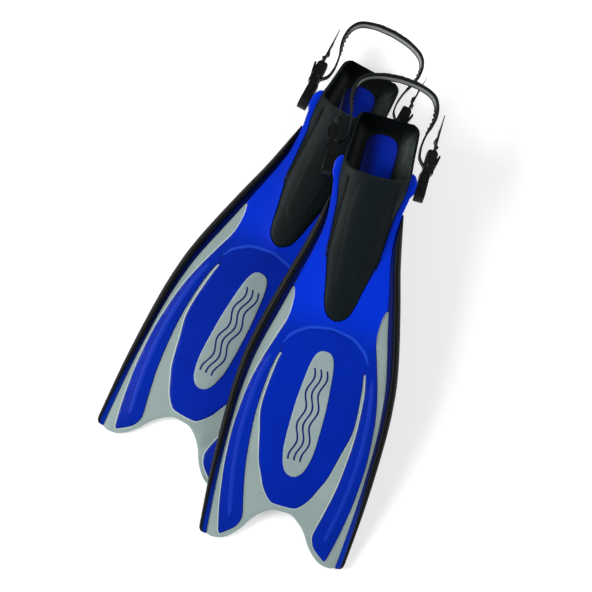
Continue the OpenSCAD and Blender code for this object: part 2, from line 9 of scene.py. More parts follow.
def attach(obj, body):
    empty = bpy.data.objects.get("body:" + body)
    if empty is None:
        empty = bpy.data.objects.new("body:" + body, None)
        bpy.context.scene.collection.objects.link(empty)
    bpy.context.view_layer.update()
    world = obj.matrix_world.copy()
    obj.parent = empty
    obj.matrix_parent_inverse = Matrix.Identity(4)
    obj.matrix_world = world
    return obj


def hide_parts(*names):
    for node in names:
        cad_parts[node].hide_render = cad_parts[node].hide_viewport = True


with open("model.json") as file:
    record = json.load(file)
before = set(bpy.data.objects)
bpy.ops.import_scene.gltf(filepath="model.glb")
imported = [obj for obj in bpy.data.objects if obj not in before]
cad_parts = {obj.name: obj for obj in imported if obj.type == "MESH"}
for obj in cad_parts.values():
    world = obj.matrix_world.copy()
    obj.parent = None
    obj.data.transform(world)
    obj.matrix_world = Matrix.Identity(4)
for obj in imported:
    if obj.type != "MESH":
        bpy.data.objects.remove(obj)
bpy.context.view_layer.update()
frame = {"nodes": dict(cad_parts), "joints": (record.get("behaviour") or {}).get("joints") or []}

fins = ("lower", "upper")
sides = {"left": -1, "right": 1}
metre = 0.001  # shapes are worked out in millimetres
nearby = 0.001  # points closer than this are one


# Curves and tables
def at(table, x):
    # smooth value between the rows of a table
    x = min(max(x, table[0][0]), table[-1][0])
    i = sum(1 for row in table[1:-1] if row[0] <= x)
    gap = table[i + 1][0] - table[i][0]
    t = (x - table[i][0]) / gap

    def lean(k):
        a, b = table[max(k - 1, 0)], table[min(k + 1, len(table) - 1)]
        return (b[1] - a[1]) / (b[0] - a[0])

    return ((1 + 2 * t) * (1 - t) ** 2 * table[i][1] + t * t * (3 - 2 * t) * table[i + 1][1]
            + gap * t * (1 - t) ** 2 * lean(i) - gap * t * t * (1 - t) * lean(i + 1))


def curve(points, steps):
    # smooth line through a few points
    knots = [Vector(p) for p in points]
    line = []
    for i in range(len(knots) - 1):
        a, b = knots[max(i - 1, 0)], knots[i]
        c, d = knots[i + 1], knots[min(i + 2, len(knots) - 1)]
        for k in range(steps):
            t = k / steps
            line.append(0.5 * (2 * b + (c - a) * t + (2 * a - 5 * b + 4 * c - d) * t * t
                               + (3 * b - a - 3 * c + d) * t ** 3))
    return line + [knots[-1]]


def smooth(low, high, x):
    t = min(max((x - low) / (high - low), 0), 1)
    return t * t * (3 - 2 * t)


def arc(start, stop, step):
    return [(cos(radians(a)), sin(radians(a))) for a in range(start, stop, step)]


crown = arc(180, -1, -30)  # half round of a raised line, from side to side


def even(count):
    return [k / (count - 1) for k in range(count)]


def between(a, b, share):
    return a + (b - a) * share


def taper(q, first, last, least):
    # rises over the first share of a line and falls over its last one
    return max(min(smooth(0, first, q), smooth(1, 1 - last, q)), least)


def spread(low, high, step):
    count = int((high - low) / step)
    return [low + (high - low) * (k + 0.5) / count for k in range(count)]


def across(line, s):
    # lateral place of a pattern line at a station, the line running from heel to tips
    for a, b in zip(line, line[1:]):
        if a[1] <= s <= b[1]:
            return a[0] + (b[0] - a[0]) * (s - a[1]) / max(b[1] - a[1], 1e-6)
    return line[0][0] if s < line[0][1] else line[-1][0]


def lengthOf(line):
    return sum((b - a).length for a, b in zip(line, line[1:]))


def resample(line, shares):
    # points at shares of a line's length
    reach = [0]
    for a, b in zip(line, line[1:]):
        reach.append(reach[-1] + (b - a).length)
    points = []
    i = 0
    for share in shares:
        want = share * reach[-1]
        while i < len(line) - 2 and reach[i + 1] < want:
            i += 1
        t = (want - reach[i]) / max(reach[i + 1] - reach[i], 1e-9)
        points.append(line[i].lerp(line[i + 1], min(t, 1)))
    return points


def outward(path, i, closed=False):
    # unit vector square to a flat path at one of its points
    low, high = i - 1, i + 1
    if closed:
        high %= len(path)
    else:
        low, high = max(low, 0), min(high, len(path) - 1)
    run = (path[high] - path[low]).normalized()
    return Vector((run.y, -run.x))


# Where the two fins lie: taken from the strap joints, which turn on each fin's studs
finRest = {"studStation": 90, "studHeight": 52, "tilt": {"lower": 3, "upper": -6}}


def joint(name):
    return next(j for j in frame["joints"] if j["name"] == name)


def strapMatrix(fin):
    swing = joint(fin + "_strap_swing")
    right = Vector(swing["axis"]).normalized()
    up = -Vector(joint(fin + "_left_top_button_press")["axis"]).normalized()
    turn = Matrix((right, up.cross(right), up)).transposed().to_4x4()
    return Matrix.Translation(swing["pos_m"]) @ turn @ Matrix.Scale(metre, 4)


def finMatrix(fin):
    back = Matrix.Rotation(radians(-finRest["tilt"][fin]), 4, "X")
    heel = Matrix.Translation((0, finRest["studStation"], -finRest["studHeight"]))
    return strapMatrix(fin) @ back @ heel


# Blade lines shared by its pieces; stations run from the heel edge to the tips
blade = {"length": 650, "wide": 234, "fork": 63, "corner": 12, "deck": 42, "plate": 3, "skin": 2,
         "railStart": 128, "railWide": 8.5, "railTall": 10.5, "stripWide": 9, "slotShare": 0.45,
         "armStart": 168, "toe": 298, "seam": 0.2, "gap": 0.4, "lineSteps": 6}
halfWide = blade["wide"] / 2
skinTop = blade["plate"] / 2 + blade["skin"]
railTall = [[0, 0.35], [0.05, 0.85], [0.2, 1], [0.5, 0.9], [0.8, 0.68], [1, 0.52]]
railWide = [[0, 0.15], [0.04, 0.6], [0.1, 1], [0.6, 1], [1, 0.5]]
stripWide = [[0, 0.1], [0.04, 0.35], [0.1, 0.6], [0.33, 1], [0.5, 0.72], [0.65, 0.55], [1, 0.85]]
edgeShape = [[0, 0.46], [0.138, 0.598], [0.234, 0.717], [0.33, 0.829], [0.41, 0.912],
             [0.483, 0.966], [0.6, 1], [0.8, 0.988], [1, 0.93]]


def along(s):
    return (s - blade["railStart"]) / (blade["length"] - blade["railStart"])


railEnd = blade["length"] - blade["corner"] / 4
railTip = blade["railTall"] * at(railTall, along(railEnd))
slope = atan((blade["deck"] - railTip) / (blade["length"] - blade["toe"]))
tipHeight = railTip * cos(slope) - (blade["length"] - railEnd) * tan(slope)
toFin = Matrix.Translation((0, -blade["length"], tipHeight)) @ Matrix.Rotation(slope, 4, "X")


def bladeMatrix(fin):
    return finMatrix(fin) @ toFin


def deck(s):
    return tipHeight + (blade["length"] - s) * tan(slope)


def bladeY(s):
    return (blade["length"] - s) / cos(slope)


def flat(d, s):
    # a lateral place and a station, laid on the sloping blade
    return Vector((d, bladeY(s)))


def stationOf(y):
    return blade["length"] - y * cos(slope)


def sideLine(s):
    return halfWide * at(edgeShape, along(s))


def edge(s):
    # outer edge of the rail, rounded at the tip
    past = s - blade["length"] + blade["corner"]
    cut = 0 if past < 0 else blade["corner"] - sqrt(max(blade["corner"] ** 2 - past ** 2, 0))
    return sideLine(s) - cut


def railWidth(s):
    return blade["railWide"] * at(railWide, along(s))


def railHeight(s):
    return blade["railTall"] * at(railTall, along(s))


def stripIn(s):
    return sideLine(s) - railWidth(s) - blade["stripWide"] * at(stripWide, along(s))


def stripOut(s):
    return edge(s) - railWidth(s)


def slotIn(s):
    return between(stripIn(s), stripOut(s), blade["slotShare"])


def ahead(q):
    # station at a share of the way from the toe to the tips
    return between(blade["toe"], blade["length"], q)


def drawn(rows):
    return curve([(halfWide * a, ahead(q)) for a, q in rows], blade["lineSteps"])


leafLine = drawn([[0.574, -0.091], [0.547, -0.05], [0.552, 0.03], [0.633, 0.12], [0.735, 0.233],
                  [0.81, 0.35], [0.851, 0.5], [0.85, 0.6], [0.826, 0.72], [0.764, 0.86], [0.694, 0.968]])
legLine = drawn([[0.668, 0.978], [0.532, 0.943], [0.474, 0.915], [0.453, 0.878], [0.504, 0.8],
                 [0.571, 0.688], [0.61, 0.574], [0.631, 0.432], [0.606, 0.29], [0.581, 0.233],
                 [0.545, 0.182], [0.523, 0.178]])
panelLine = drawn([[0.518, 0.182], [0.547, 0.233], [0.581, 0.347], [0.581, 0.432], [0.523, 0.517],
                   [0.443, 0.631], [0.372, 0.688], [0.292, 0.744], [0.183, 0.787], [0.1, 0.796], [0, 0.797]])
arcLine = drawn([[0, 0.031], [0.255, 0.048], [0.383, 0.074], [0.468, 0.099], [0.545, 0.136]])
badgeLine = drawn([[0, 0.129], [0.05, 0.1315], [0.092, 0.142], [0.121, 0.16], [0.143, 0.187],
                   [0.163, 0.233], [0.192, 0.347], [0.198, 0.432], [0.196, 0.517], [0.181, 0.574],
                   [0.133, 0.631], [0.07, 0.658], [0, 0.666]])
forkShape = [[0, 1], [0.137, 0.976], [0.27, 0.82], [0.365, 0.64], [0.456, 0.39], [0.55, 0.2],
             [0.64, 0.075], [0.73, 0.015], [0.82, 0]]
forkLine = curve([(sideLine(blade["length"]) * a, blade["length"] - blade["fork"] * q) for a, q in forkShape],
                 blade["lineSteps"])


# Materials: a socket wrapped so that shader maths reads as sums
class Wire:
    def __init__(self, nodes, socket):
        self.nodes = nodes
        self.socket = socket

    def math(self, operation, a, b):
        return self.nodes.add("ShaderNodeMath", {"operation": operation}, {0: a, 1: b})

    def __add__(self, other):
        return self.math("ADD", self, other)

    def __radd__(self, other):
        return self.math("ADD", other, self)

    def __sub__(self, other):
        return self.math("SUBTRACT", self, other)

    def __rsub__(self, other):
        return self.math("SUBTRACT", other, self)

    def __mul__(self, other):
        return self.math("MULTIPLY", self, other)

    def __rmul__(self, other):
        return self.math("MULTIPLY", other, self)

    def __abs__(self):
        return self.nodes.add("ShaderNodeMath", {"operation": "ABSOLUTE"}, {0: self})


class Nodes:
    def __init__(self, tree):
        self.tree = tree

    def add(self, kind, settings, sockets, out=0):
        node = self.tree.nodes.new(kind)
        for name, value in settings.items():
            setattr(node, name, value)
        for name, value in sockets.items():
            if isinstance(value, Wire):
                self.tree.links.new(value.socket, node.inputs[name])
            else:
                node.inputs[name].default_value = value
        return Wire(self, node.outputs[out])

    def place(self, kind="Object"):
        return self.add("ShaderNodeTexCoord", {}, {}, kind)

    def mark(self, name):
        return self.add("ShaderNodeAttribute", {"attribute_name": name}, {}, "Fac")

    def finPlace(self, axis):
        # metres on the fin: X across it, Y from its heel edge
        vector = self.add("ShaderNodeAttribute", {"attribute_name": "finPlace"}, {}, "Vector")
        return self.add("ShaderNodeSeparateXYZ", {}, {0: vector}, axis)

    def noise(self, scale, detail=3, rough=0.5):
        return self.add("ShaderNodeTexNoise", {}, {"Vector": self.place(), "Scale": scale, "Detail": detail,
                                                   "Roughness": rough})

    def grain(self, scale):
        return self.add("ShaderNodeTexVoronoi", {}, {"Vector": self.place(), "Scale": scale})

    def ease(self, value, low, high):
        return self.add("ShaderNodeMapRange", {"interpolation_type": "SMOOTHSTEP"},
                        {"Value": value, "From Min": low, "From Max": high})

    def mix(self, share, a, b):
        return self.add("ShaderNodeMix", {"data_type": "RGBA"}, {0: share, 6: a, 7: b}, 2)

    def patches(self, noise, low, high, a, b):
        # soft patches of two colours
        return self.mix(self.ease(noise, low, high), a, b)


class Finish(Nodes):
    def __init__(self, name, **constants):
        self.material = bpy.data.materials.new(name)
        self.material.use_nodes = True
        super().__init__(self.material.node_tree)
        self.shader = self.tree.nodes["Principled BSDF"]
        for socket, value in constants.items():
            self.shader.inputs[socket.replace("_", " ")].default_value = value

    def feed(self, socket, wire):
        self.tree.links.new(wire.socket, self.shader.inputs[socket])

    def bump(self, height, strength, distance):
        self.feed("Normal", self.add("ShaderNodeBump", {}, {"Height": height, "Strength": strength,
                                                            "Distance": distance}))


def ink(*rgb):
    # a colour as seen on a screen, 0 to 255, for a shader
    return [(c / 255 / 12.92) if c < 11 else ((c / 255 + 0.055) / 1.055) ** 2.4 for c in rgb] + [1]


def tint(colour, level):
    return ink(*[min(c * level, 255) for c in colour])


# Stations at which colours change, in metres from the heel edge
fades = {"litShoulder": (0.27, 0.345), "strip": (0.3, 0.5), "stripTip": (0.48, 0.63), "rib": (0.198, 0.208)}
# deep blue of the painted shade along the rims of blue pieces
edgeShadeBlue = (1, 8, 56)
fineBump = 0.0003


def blueFinish(name, colour, gloss, litShoulder=None, crestHighlight=None):
    # a lighter shoulder colour, painted light where the shoulders tilt up to the pocket, gives way to the
    # body colour ahead of the toe, and a lighter crest colour is a painted highlight on raised lines; rim
    # marks darken each shape's edge with painted shade
    f = Finish(name, IOR=1.46, Specular_IOR_Level=0.2)
    rim = f.ease(f.mark("rim"), 0.2, 0.75)
    body = f.patches(f.noise(9, 3, 0.55), 0.3, 0.7, tint(colour, 0.95), tint(colour, 1.05))
    if litShoulder:
        body = f.mix(f.ease(f.finPlace("Y"), *fades["litShoulder"]), ink(*litShoulder), body)
    if crestHighlight:
        body = f.mix(f.ease(f.mark("face"), 0, 1), body, ink(*crestHighlight))
    # painted shade: toward the rim the colour darkens to a deep blue
    f.feed("Base Color", f.mix(rim, body, ink(*edgeShadeBlue)))
    f.feed("Roughness", gloss + 0.1 * f.noise(70, 4, 0.6) + 0.1 * rim)
    f.bump(f.noise(900, 2) + 0.6 * f.noise(160, 3), 0.08, fineBump)
    return f.material


bedLightBand = {"slant": 0.12, "aside": 0.004, "waver": 0.006, "edge": (0.009, 0.03), "heel": (0.022, 0.085)}


def bedFinish(name):
    # painted light on the foot bed: a slanting band is brighter as a painted highlight, its sides darker as
    # painted shade, and the whole bed darker towards the heel
    f = Finish(name, IOR=1.45, Specular_IOR_Level=0.08)
    station = f.finPlace("Y")
    aside = abs(f.finPlace("X") - bedLightBand["slant"] * station - bedLightBand["aside"])
    outside = f.ease(aside + bedLightBand["waver"] * f.noise(30, 3), *bedLightBand["edge"])
    heel = 1 - f.ease(station, *bedLightBand["heel"])
    bandHighlight = f.mix(heel, ink(10, 58, 226), ink(5, 38, 170))
    dark = f.mix(heel, ink(2, 18, 92), ink(2, 15, 84))
    body = f.mix(outside, bandHighlight, dark)
    # painted shade: the rim mark darkens the bed's edge
    f.feed("Base Color", f.mix(f.ease(f.mark("rim"), 0.2, 0.8), body, ink(2, 12, 66)))
    f.feed("Roughness", 0.5 + 0.12 * f.noise(80, 4, 0.6))
    f.bump(f.noise(700, 3) + 0.5 * f.noise(150, 3), 0.12, fineBump)
    return f.material


def greyFinish(name, colour, light):
    f = Finish(name, IOR=1.45, Specular_IOR_Level=0.4)
    body = f.patches(f.noise(14, 4, 0.6), 0.3, 0.75, tint(colour, 0.965), tint(colour, 1.02))
    # painted highlight: rim marks lighten the plate's edges toward the light colour
    f.feed("Base Color", f.mix(0.6 * f.ease(f.mark("rim"), 0.1, 0.8), body, ink(*light)))
    f.feed("Roughness", 0.36 + 0.14 * f.noise(90, 4, 0.6))
    f.bump(f.noise(1100, 2) + 0.5 * f.noise(220, 3), 0.1, fineBump)
    return f.material


waves = {"start": 0.37, "end": 0.508, "turns": 130, "swing": 0.0032, "pitch": 0.0092, "half": 0.0014,
         "soft": 0.00015, "outer": (1.4, 1.42), "endFade": 0.0003}


def badgeFinish(name):
    # satin oval with three plain wave lines along it
    f = Finish(name, IOR=1.45, Specular_IOR_Level=0.4)
    body = f.patches(f.noise(16, 4, 0.6), 0.3, 0.75, ink(136, 153, 154), ink(144, 161, 162))
    station = f.finPlace("Y")
    swing = f.add("ShaderNodeMath", {"operation": "SINE"}, {0: waves["turns"] * (station - waves["start"])})
    aside = f.finPlace("X") - waves["swing"] * swing
    lane = f.add("ShaderNodeMath", {"operation": "PINGPONG"}, {0: aside, 1: waves["pitch"] / 2})
    line = 1 - f.ease(lane, waves["half"] - waves["soft"], waves["half"] + waves["soft"])
    inside = 1 - f.ease(abs(aside), *[q * waves["pitch"] for q in waves["outer"]])
    ends = f.ease(station, waves["start"], waves["start"] + waves["endFade"])
    ends = ends * (1 - f.ease(station, waves["end"], waves["end"] + waves["endFade"]))
    wavePrint = line * inside * ends * f.mark("face")
    # painted highlight: the rim mark lightens the badge's edge
    body = f.mix(0.5 * f.mark("rim"), body, ink(158, 172, 176))
    f.feed("Base Color", f.mix(wavePrint, body, ink(14, 28, 96)))
    f.feed("Roughness", 0.36 + 0.14 * f.noise(90, 4, 0.6) - 0.08 * wavePrint)
    f.bump(f.noise(1100, 2) + 0.4 * f.noise(240, 3) + 1.5 * wavePrint, 0.1, fineBump)
    return f.material


def rubberSkin(f, dull):
    # finely pebbled surface that all the rubber has
    f.feed("Roughness", dull + 0.16 * f.noise(60, 4, 0.6))
    pebble = 1 - f.grain(1400)
    f.bump(0.5 * pebble + f.noise(420, 3), 0.18, fineBump)


def rubberFinish(name, colour, dull, paintedSheen):
    f = Finish(name, IOR=1.45, Specular_IOR_Level=0.22)
    body = f.patches(f.noise(11, 4, 0.6), 0.3, 0.72, tint(colour, 0.9), tint(colour, 1.12))
    # painted highlight: the rim mark lightens the colour toward a pale sheen; only the strap's stripe carries
    # it
    f.feed("Base Color", f.mix(0.5 * f.ease(f.mark("rim"), 0.2, 0.9), body, ink(*paintedSheen)))
    rubberSkin(f, dull)
    return f.material


paintedWallSheen = {"aside": (0.02, 0.033), "heel": (0.004, 0.04)}


def pocketFinish(name, dull):
    # black outside; inside, a darker colour as painted shade, and a mottled painted highlight on one wall
    f = Finish(name, IOR=1.45, Specular_IOR_Level=0.13)
    sheenMottle = f.ease(f.noise(130, 5, 0.7), 0.3, 0.7)
    wall = f.ease(f.finPlace("X"), *paintedWallSheen["aside"]) * f.ease(f.finPlace("Y"), *paintedWallSheen["heel"])
    # painted highlight on the wall at positive X, and painted shade on the rest of the inside
    inside = f.mix(wall * (0.5 + 0.5 * sheenMottle), ink(8, 11, 12), ink(66, 77, 74))
    outside = f.patches(f.noise(11, 4, 0.6), 0.3, 0.72, ink(12, 20, 21), ink(15, 24, 26))
    f.feed("Base Color", f.mix(f.mark("face"), outside, inside))
    rubberSkin(f, dull)
    return f.material


def stripFinish(name):
    # navy as painted shade on the sloping strip: bluer at the blade's tips and nearly black beside the rail
    f = Finish(name, IOR=1.46, Specular_IOR_Level=0.05)
    station = f.finPlace("Y")
    tip = f.ease(station, *fades["stripTip"])
    body = f.mix(f.ease(station, *fades["strip"]), ink(3, 18, 86), ink(3, 14, 62))
    body = f.mix(tip, body, ink(4, 40, 146))
    cloud = f.ease(f.noise(24, 3), 0.35, 0.7)
    body = f.mix(0.15 * cloud, body, ink(4, 24, 96))
    # painted shade: darkest beside the rail
    f.feed("Base Color", f.mix(f.ease(f.mark("face"), 0.35, 1) * (1 - tip), body, ink(3, 10, 32)))
    f.feed("Roughness", 0.36 + 0.1 * f.noise(80, 3))
    f.bump(f.noise(800, 2), 0.1, fineBump)
    return f.material


def ribFinish(name):
    # black along the pocket, darker than the pocket's rubber as painted shade, and blue where the rib runs
    # out over the blade
    f = Finish(name, IOR=1.46, Specular_IOR_Level=0.12)
    out = f.ease(f.finPlace("Y"), *fades["rib"])
    body = f.patches(f.noise(40, 3), 0.3, 0.7, ink(4, 8, 9), ink(8, 13, 14))
    f.feed("Base Color", f.mix(out, body, ink(2, 16, 84)))
    f.feed("Roughness", 0.5 + 0.12 * f.noise(90, 3) - 0.15 * out)
    f.bump(f.noise(700, 2), 0.15, fineBump)
    return f.material


def plasticFinish(name, colour, gloss):
    f = Finish(name, IOR=1.47, Specular_IOR_Level=0.25)
    body = f.patches(f.noise(30, 4, 0.6), 0.3, 0.7, tint(colour, 0.85), tint(colour, 1.2))
    f.feed("Base Color", body)
    f.feed("Roughness", gloss + 0.15 * f.noise(120, 4, 0.6))
    f.bump(f.noise(1500, 2) + 0.5 * f.grain(2400), 0.16, 0.0002)
    return f.material


def steelFinish(name):
    # blackened steel
    f = Finish(name, Metallic=1.0, IOR=2.5)
    brushed = f.noise(350, 4, 0.7)
    f.feed("Base Color", f.mix(brushed, ink(66, 68, 71), ink(98, 101, 104)))
    f.feed("Roughness", 0.3 + 0.2 * brushed)
    f.bump(brushed, 0.1, 0.0001)
    return f.material


finishes = {material.name: material for material in (
    # the lighter shoulder and crest colours below are painted light
    blueFinish("frameBlue", (2, 37, 154), 0.24, litShoulder=(2, 47, 203)),
    blueFinish("panelBlue", (1, 35, 156), 0.24),
    blueFinish("beadBlue", (2, 37, 156), 0.44, crestHighlight=(5, 47, 170)),
    # arcBlue's lighter blue is a painted highlight along the arc step
    blueFinish("arcBlue", (2, 40, 174), 0.4, crestHighlight=(18, 64, 188)),
    bedFinish("bedBlue"),
    greyFinish("coreGrey", (142, 160, 157), (176, 192, 188)),
    # lipGrey's pale grey is a painted highlight along the edges of the blue shapes
    greyFinish("lipGrey", (184, 199, 202), (196, 208, 210)),
    badgeFinish("badgeGrey"),
    pocketFinish("pocketRubber", 0.42),
    rubberFinish("railRubber", (9, 11, 10), 0.5, (52, 56, 52)),
    rubberFinish("soleRubber", (24, 28, 28), 0.6, (40, 44, 44)),
    rubberFinish("strapRubber", (8, 10, 10), 0.4, (196, 205, 201)),
    stripFinish("stripNavy"),
    ribFinish("ribBlack"),
    plasticFinish("bucklePlastic", (7, 8, 9), 0.3),
    steelFinish("pinSteel"),
)}
print("finishes:", len(finishes))


# Mesh helpers
def startMesh():
    bm = bmesh.new()
    bm.verts.layers.float_vector.new("finPlace")
    bm.verts.layers.float.new("rim")
    bm.verts.layers.float.new("face")
    return bm


def everything(bm):
    return bm.verts[:] + bm.edges[:] + bm.faces[:]


def boundary(bm):
    return [e for e in bm.edges if e.is_boundary]


def ringEdges(bm, points, closed):
    ring = [bm.verts.new(p) for p in points]
    pairs = list(zip(ring, ring[1:])) + ([(ring[-1], ring[0])] if closed else [])
    return ring, [bm.edges.new(pair) for pair in pairs]


def edgesAlong(bm, ring):
    return [bm.edges.get(pair) for pair in zip(ring, ring[1:])]


def grow(bm, ring, edges, points):
    # extrudes a ring's edges and sets the new ring on its points
    made = bmesh.ops.extrude_edge_only(bm, edges=edges)["geom"]
    fresh = {v for v in made if isinstance(v, bmesh.types.BMVert)}
    grown = [next(e.other_vert(v) for e in v.link_edges if e.other_vert(v) in fresh) for v in ring]
    for v, p in zip(grown, points):
        v.co = p
    new = edgesAlong(bm, grown + grown[:1])
    return grown, [e for e in new if e is not None and e.is_boundary]


def sweep(bm, rings):
    # a closed tube through rings of points, capped at both ends
    ring, edges = ringEdges(bm, rings[0], True)
    bmesh.ops.edgeloop_fill(bm, edges=edges)
    for points in rings[1:]:
        ring, edges = grow(bm, ring, edges, points)
    bmesh.ops.edgeloop_fill(bm, edges=edges)
    return bm


def onBlade(co):
    return stationOf(co.y)


def onFin(co):
    return -co.y


def onStrap(co):
    return co.y


def setPlace(bm, station):
    # keeps each point's place on the fin for the materials, which read it in metres
    layer = bm.verts.layers.float_vector["finPlace"]
    for v in bm.verts:
        v[layer] = (v.co.x * metre, station(v.co) * metre, v.co.z * metre)


def makePiece(name, bm, matrix, body, look, nodes=(), sharp=40, eased=False):
    copy = bm.copy()
    bmesh.ops.transform(copy, matrix=matrix, verts=copy.verts)
    bmesh.ops.recalc_face_normals(copy, faces=copy.faces)
    mesh = bpy.data.meshes.new(name)
    copy.to_mesh(mesh)
    copy.free()
    mesh.shade_smooth()
    mesh.set_sharp_from_angle(angle=radians(sharp))
    mesh.materials.append(finishes[look])
    piece = bpy.data.objects.new(name, mesh)
    bpy.context.scene.collection.objects.link(piece)
    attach(piece, body)
    if nodes:
        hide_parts(*nodes)
    if eased:
        piece.modifiers.new("flatFaces", "WEIGHTED_NORMAL").keep_sharp = True


def bothFins(part, bm, matrix, look, sharp=40, body="_fin", detail=False):
    # one piece on each fin; a detail stands for no node
    for fin in fins:
        nodes = () if detail else [fin + "_" + part]
        makePiece(fin + "." + part, bm, matrix(fin), fin + body, look, nodes, sharp)
    bm.free()


# Flat blade pieces: an outline raised from the blade's middle plane, rounded at its rim and mirrored below
plateRim = ((0.3, 0.8, 1), (0.7, 0.24, 0.7))  # share of the rim's width, drop and mark of each step


def mirrored(half):
    return half + [Vector((-p[0], p[1])) for p in reversed(half) if p[0] > 1e-6]


def roundRim(bm, lid, rim, steps, depth=lambda co: 1):
    # insets a lid step by step and lowers what lies outside it
    layer = bm.verts.layers.float["rim"]
    for share, drop, mark in steps:
        ledge = bmesh.ops.inset_region(bm, faces=lid, thickness=share * rim, use_even_offset=True)["faces"]
        for v in {v for f in ledge for v in f.verts} - set(lid[0].verts):
            level = depth(v.co)
            v.co.z -= drop * rim * level
            v[layer] = mark * level
    for v in lid[0].verts:
        v[layer] = 0


def plate(outline, top, rim, step, lift=lambda d, s: 0, depth=lambda d, s: 1):
    bm = startMesh()
    points = [flat(p[0], p[1]) for p in outline]
    ring, edges = ringEdges(bm, [(p.x, p.y, 0) for p in points], True)
    ring, edges = grow(bm, ring, edges, [(p.x, p.y, top) for p in points])
    lid = bmesh.ops.edgeloop_fill(bm, edges=edges)["faces"]
    roundRim(bm, lid, rim, plateRim, lambda co: depth(abs(co.x), stationOf(co.y)))
    inside = list(lid) + list(lid[0].edges) + list(lid[0].verts)
    wide = max(abs(p.x) for p in points)
    low, high = min(p.y for p in points), max(p.y for p in points)
    cuts = [((0, y, 0), (0, 1, 0)) for y in spread(low, high, step)]
    cuts += [((x, 0, 0), (1, 0, 0)) for x in spread(-wide, wide, step)]
    for place, normal in cuts:
        inside = bmesh.ops.bisect_plane(bm, geom=inside, dist=nearby, plane_co=place, plane_no=normal)["geom"]
    for v in bm.verts:
        if v.co.z > 0.01:
            v.co.z += lift(abs(v.co.x), stationOf(v.co.y))
    bmesh.ops.mirror(bm, geom=everything(bm), merge_dist=nearby, axis="Z")
    setPlace(bm, onBlade)
    return bm


# Foot pocket shape, shared with the blade's cut around it
pocket = {"length": 298, "ballWide": 106, "instepWide": 99, "wall": 4, "rise": 30, "instep": 84,
          "heelRim": 30, "bottom": 5, "floor": 11, "toeWall": 6, "panelLift": 0.7,
          "scoop": 26, "scoopRound": 9, "toeRound": 280, "toePowers": (1.6, 0.62), "rimEnd": 91,
          "leanFoot": 128, "arch": 0.85, "ledgeDrop": 8, "ledge": ((0.85, 3), (0.4, 1), (0, 0)),
          "merge": 0.02, "leastHalf": 0.6, "leastArch": 0.4, "leastSole": 0.5, "rimSteps": 12,
          "scoopStart": 0.5, "scoopGrow": 3, "rimInside": 2}
soleShape = [[0, 0.68], [0.012, 0.8], [0.03, 0.865], [0.055, 0.885], [0.17, 0.915], [0.3, 0.945],
             [0.5, 0.98], [0.63, 1], [0.75, 0.97], [0.85, 0.88], [0.93, 0.7], [0.975, 0.45], [1, 0.06]]
upperShape = [[0, 0.73], [0.012, 0.855], [0.03, 0.925], [0.055, 0.945], [0.17, 0.98], [0.282, 1],
              [0.37, 0.94], [0.436, 0.86], [0.5, 0.83], [0.6, 0.79], [0.67, 0.755], [0.745, 0.66],
              [0.84, 0.535], [0.906, 0.464], [0.94, 0.4], [0.973, 0.28], [1, 0.04]]
riseShape = [[0, 1], [0.28, 1], [0.37, 0.9], [0.5, 0.75], [0.67, 0.55], [0.84, 0.36], [0.94, 0.26], [1, 0.16]]
shelf = skinTop / cos(slope) + blade["gap"]


def soleHalf(s):
    return pocket["ballWide"] / 2 * at(soleShape, s / pocket["length"])


def upperHalf(s):
    # the toe's last stretch is rounded off
    wide = pocket["instepWide"] / 2 * at(upperShape, min(s, pocket["toeRound"]) / pocket["length"])
    past = min(max(s - pocket["toeRound"], 0) / (pocket["length"] - pocket["toeRound"]), 1)
    first, second = pocket["toePowers"]
    return max(wide * (1 - past ** first) ** second, pocket["leastHalf"])


def upperTop(s):
    return deck(s) + pocket["rise"] * at(riseShape, s / pocket["length"])


cutShift = skinTop * tan(slope)
cutShares = (0.335, 0.385, 0.436, 0.485, 0.55, 0.62, 0.69, 0.745, 0.8, 0.85, 0.895, 0.933, 0.96, 0.972,
             0.982, 0.989, 0.994, 0.998, 1)
toeMiddle = Vector((0, pocket["length"] + blade["gap"] + cutShift))


def cutLine(start):
    # edge of the opening round the pocket, from a station to the toe
    later = [pocket["instep"]] + [pocket["length"] * q for q in cutShares]
    stations = [start] + [s for s in later if s > start + 1]
    return [Vector((upperHalf(s) + blade["gap"], s + cutShift)) for s in stations]


# Grey core plate
core = {"rim": 0.9, "grid": 14, "steps": 60}
coreStations = [between(railEnd, blade["armStart"], q) for q in even(core["steps"] + 1)]
coreHalf = forkLine + [Vector((slotIn(s) - blade["seam"], s)) for s in coreStations]
coreHalf += cutLine(blade["armStart"]) + [toeMiddle]
bothFins("blade_plate", plate(mirrored(coreHalf), blade["plate"] / 2, core["rim"], core["grid"]),
         bladeMatrix, "coreGrey")
print("core plates made")

# Blue frame: shoulders, strap lugs and the two keeled legs
shoulders = {"rim": 1.0, "grid": 4, "steps": 36, "leafTop": -0.095, "keel": 1.3, "keelStart": [345, 400],
             "keelEnd": [600, 640], "ramp": 2.4, "rampReach": 16, "rampFade": [80, 130],
             "arcDepth": 0.12, "arcPast": 2.5, "arcEnd": 0.192, "topGap": 2, "stripGap": 1}
lug = {"span": [69, 106], "face": 60, "radius": 12, "root": 4, "under": 2, "ease": 1.6, "nose": 3.5,
       "noseRound": 3, "noseLeast": 0.02, "noseThick": 0.5, "swell": [-2, 13], "fall": [-13, 1],
       "fallShare": 0.6, "rootStep": 1,
       "noseRows": [0, 0.3, 0.9, 1.8, 3, 4.5, 6, 7.5, 8.8], "endRows": [3, 1.2, 0]}
lugIn = max(pocket["instepWide"] / 2, soleHalf(lug["span"][1])) + blade["gap"]
shoulderTop = lug["span"][0] + shoulders["topGap"]
leafTop = ahead(shoulders["leafTop"])
stripTop = blade["railStart"] - shoulders["stripGap"]
frameHalf = [toeMiddle] + cutLine(shoulderTop)[::-1]
lugOut = lugIn + lug["root"]
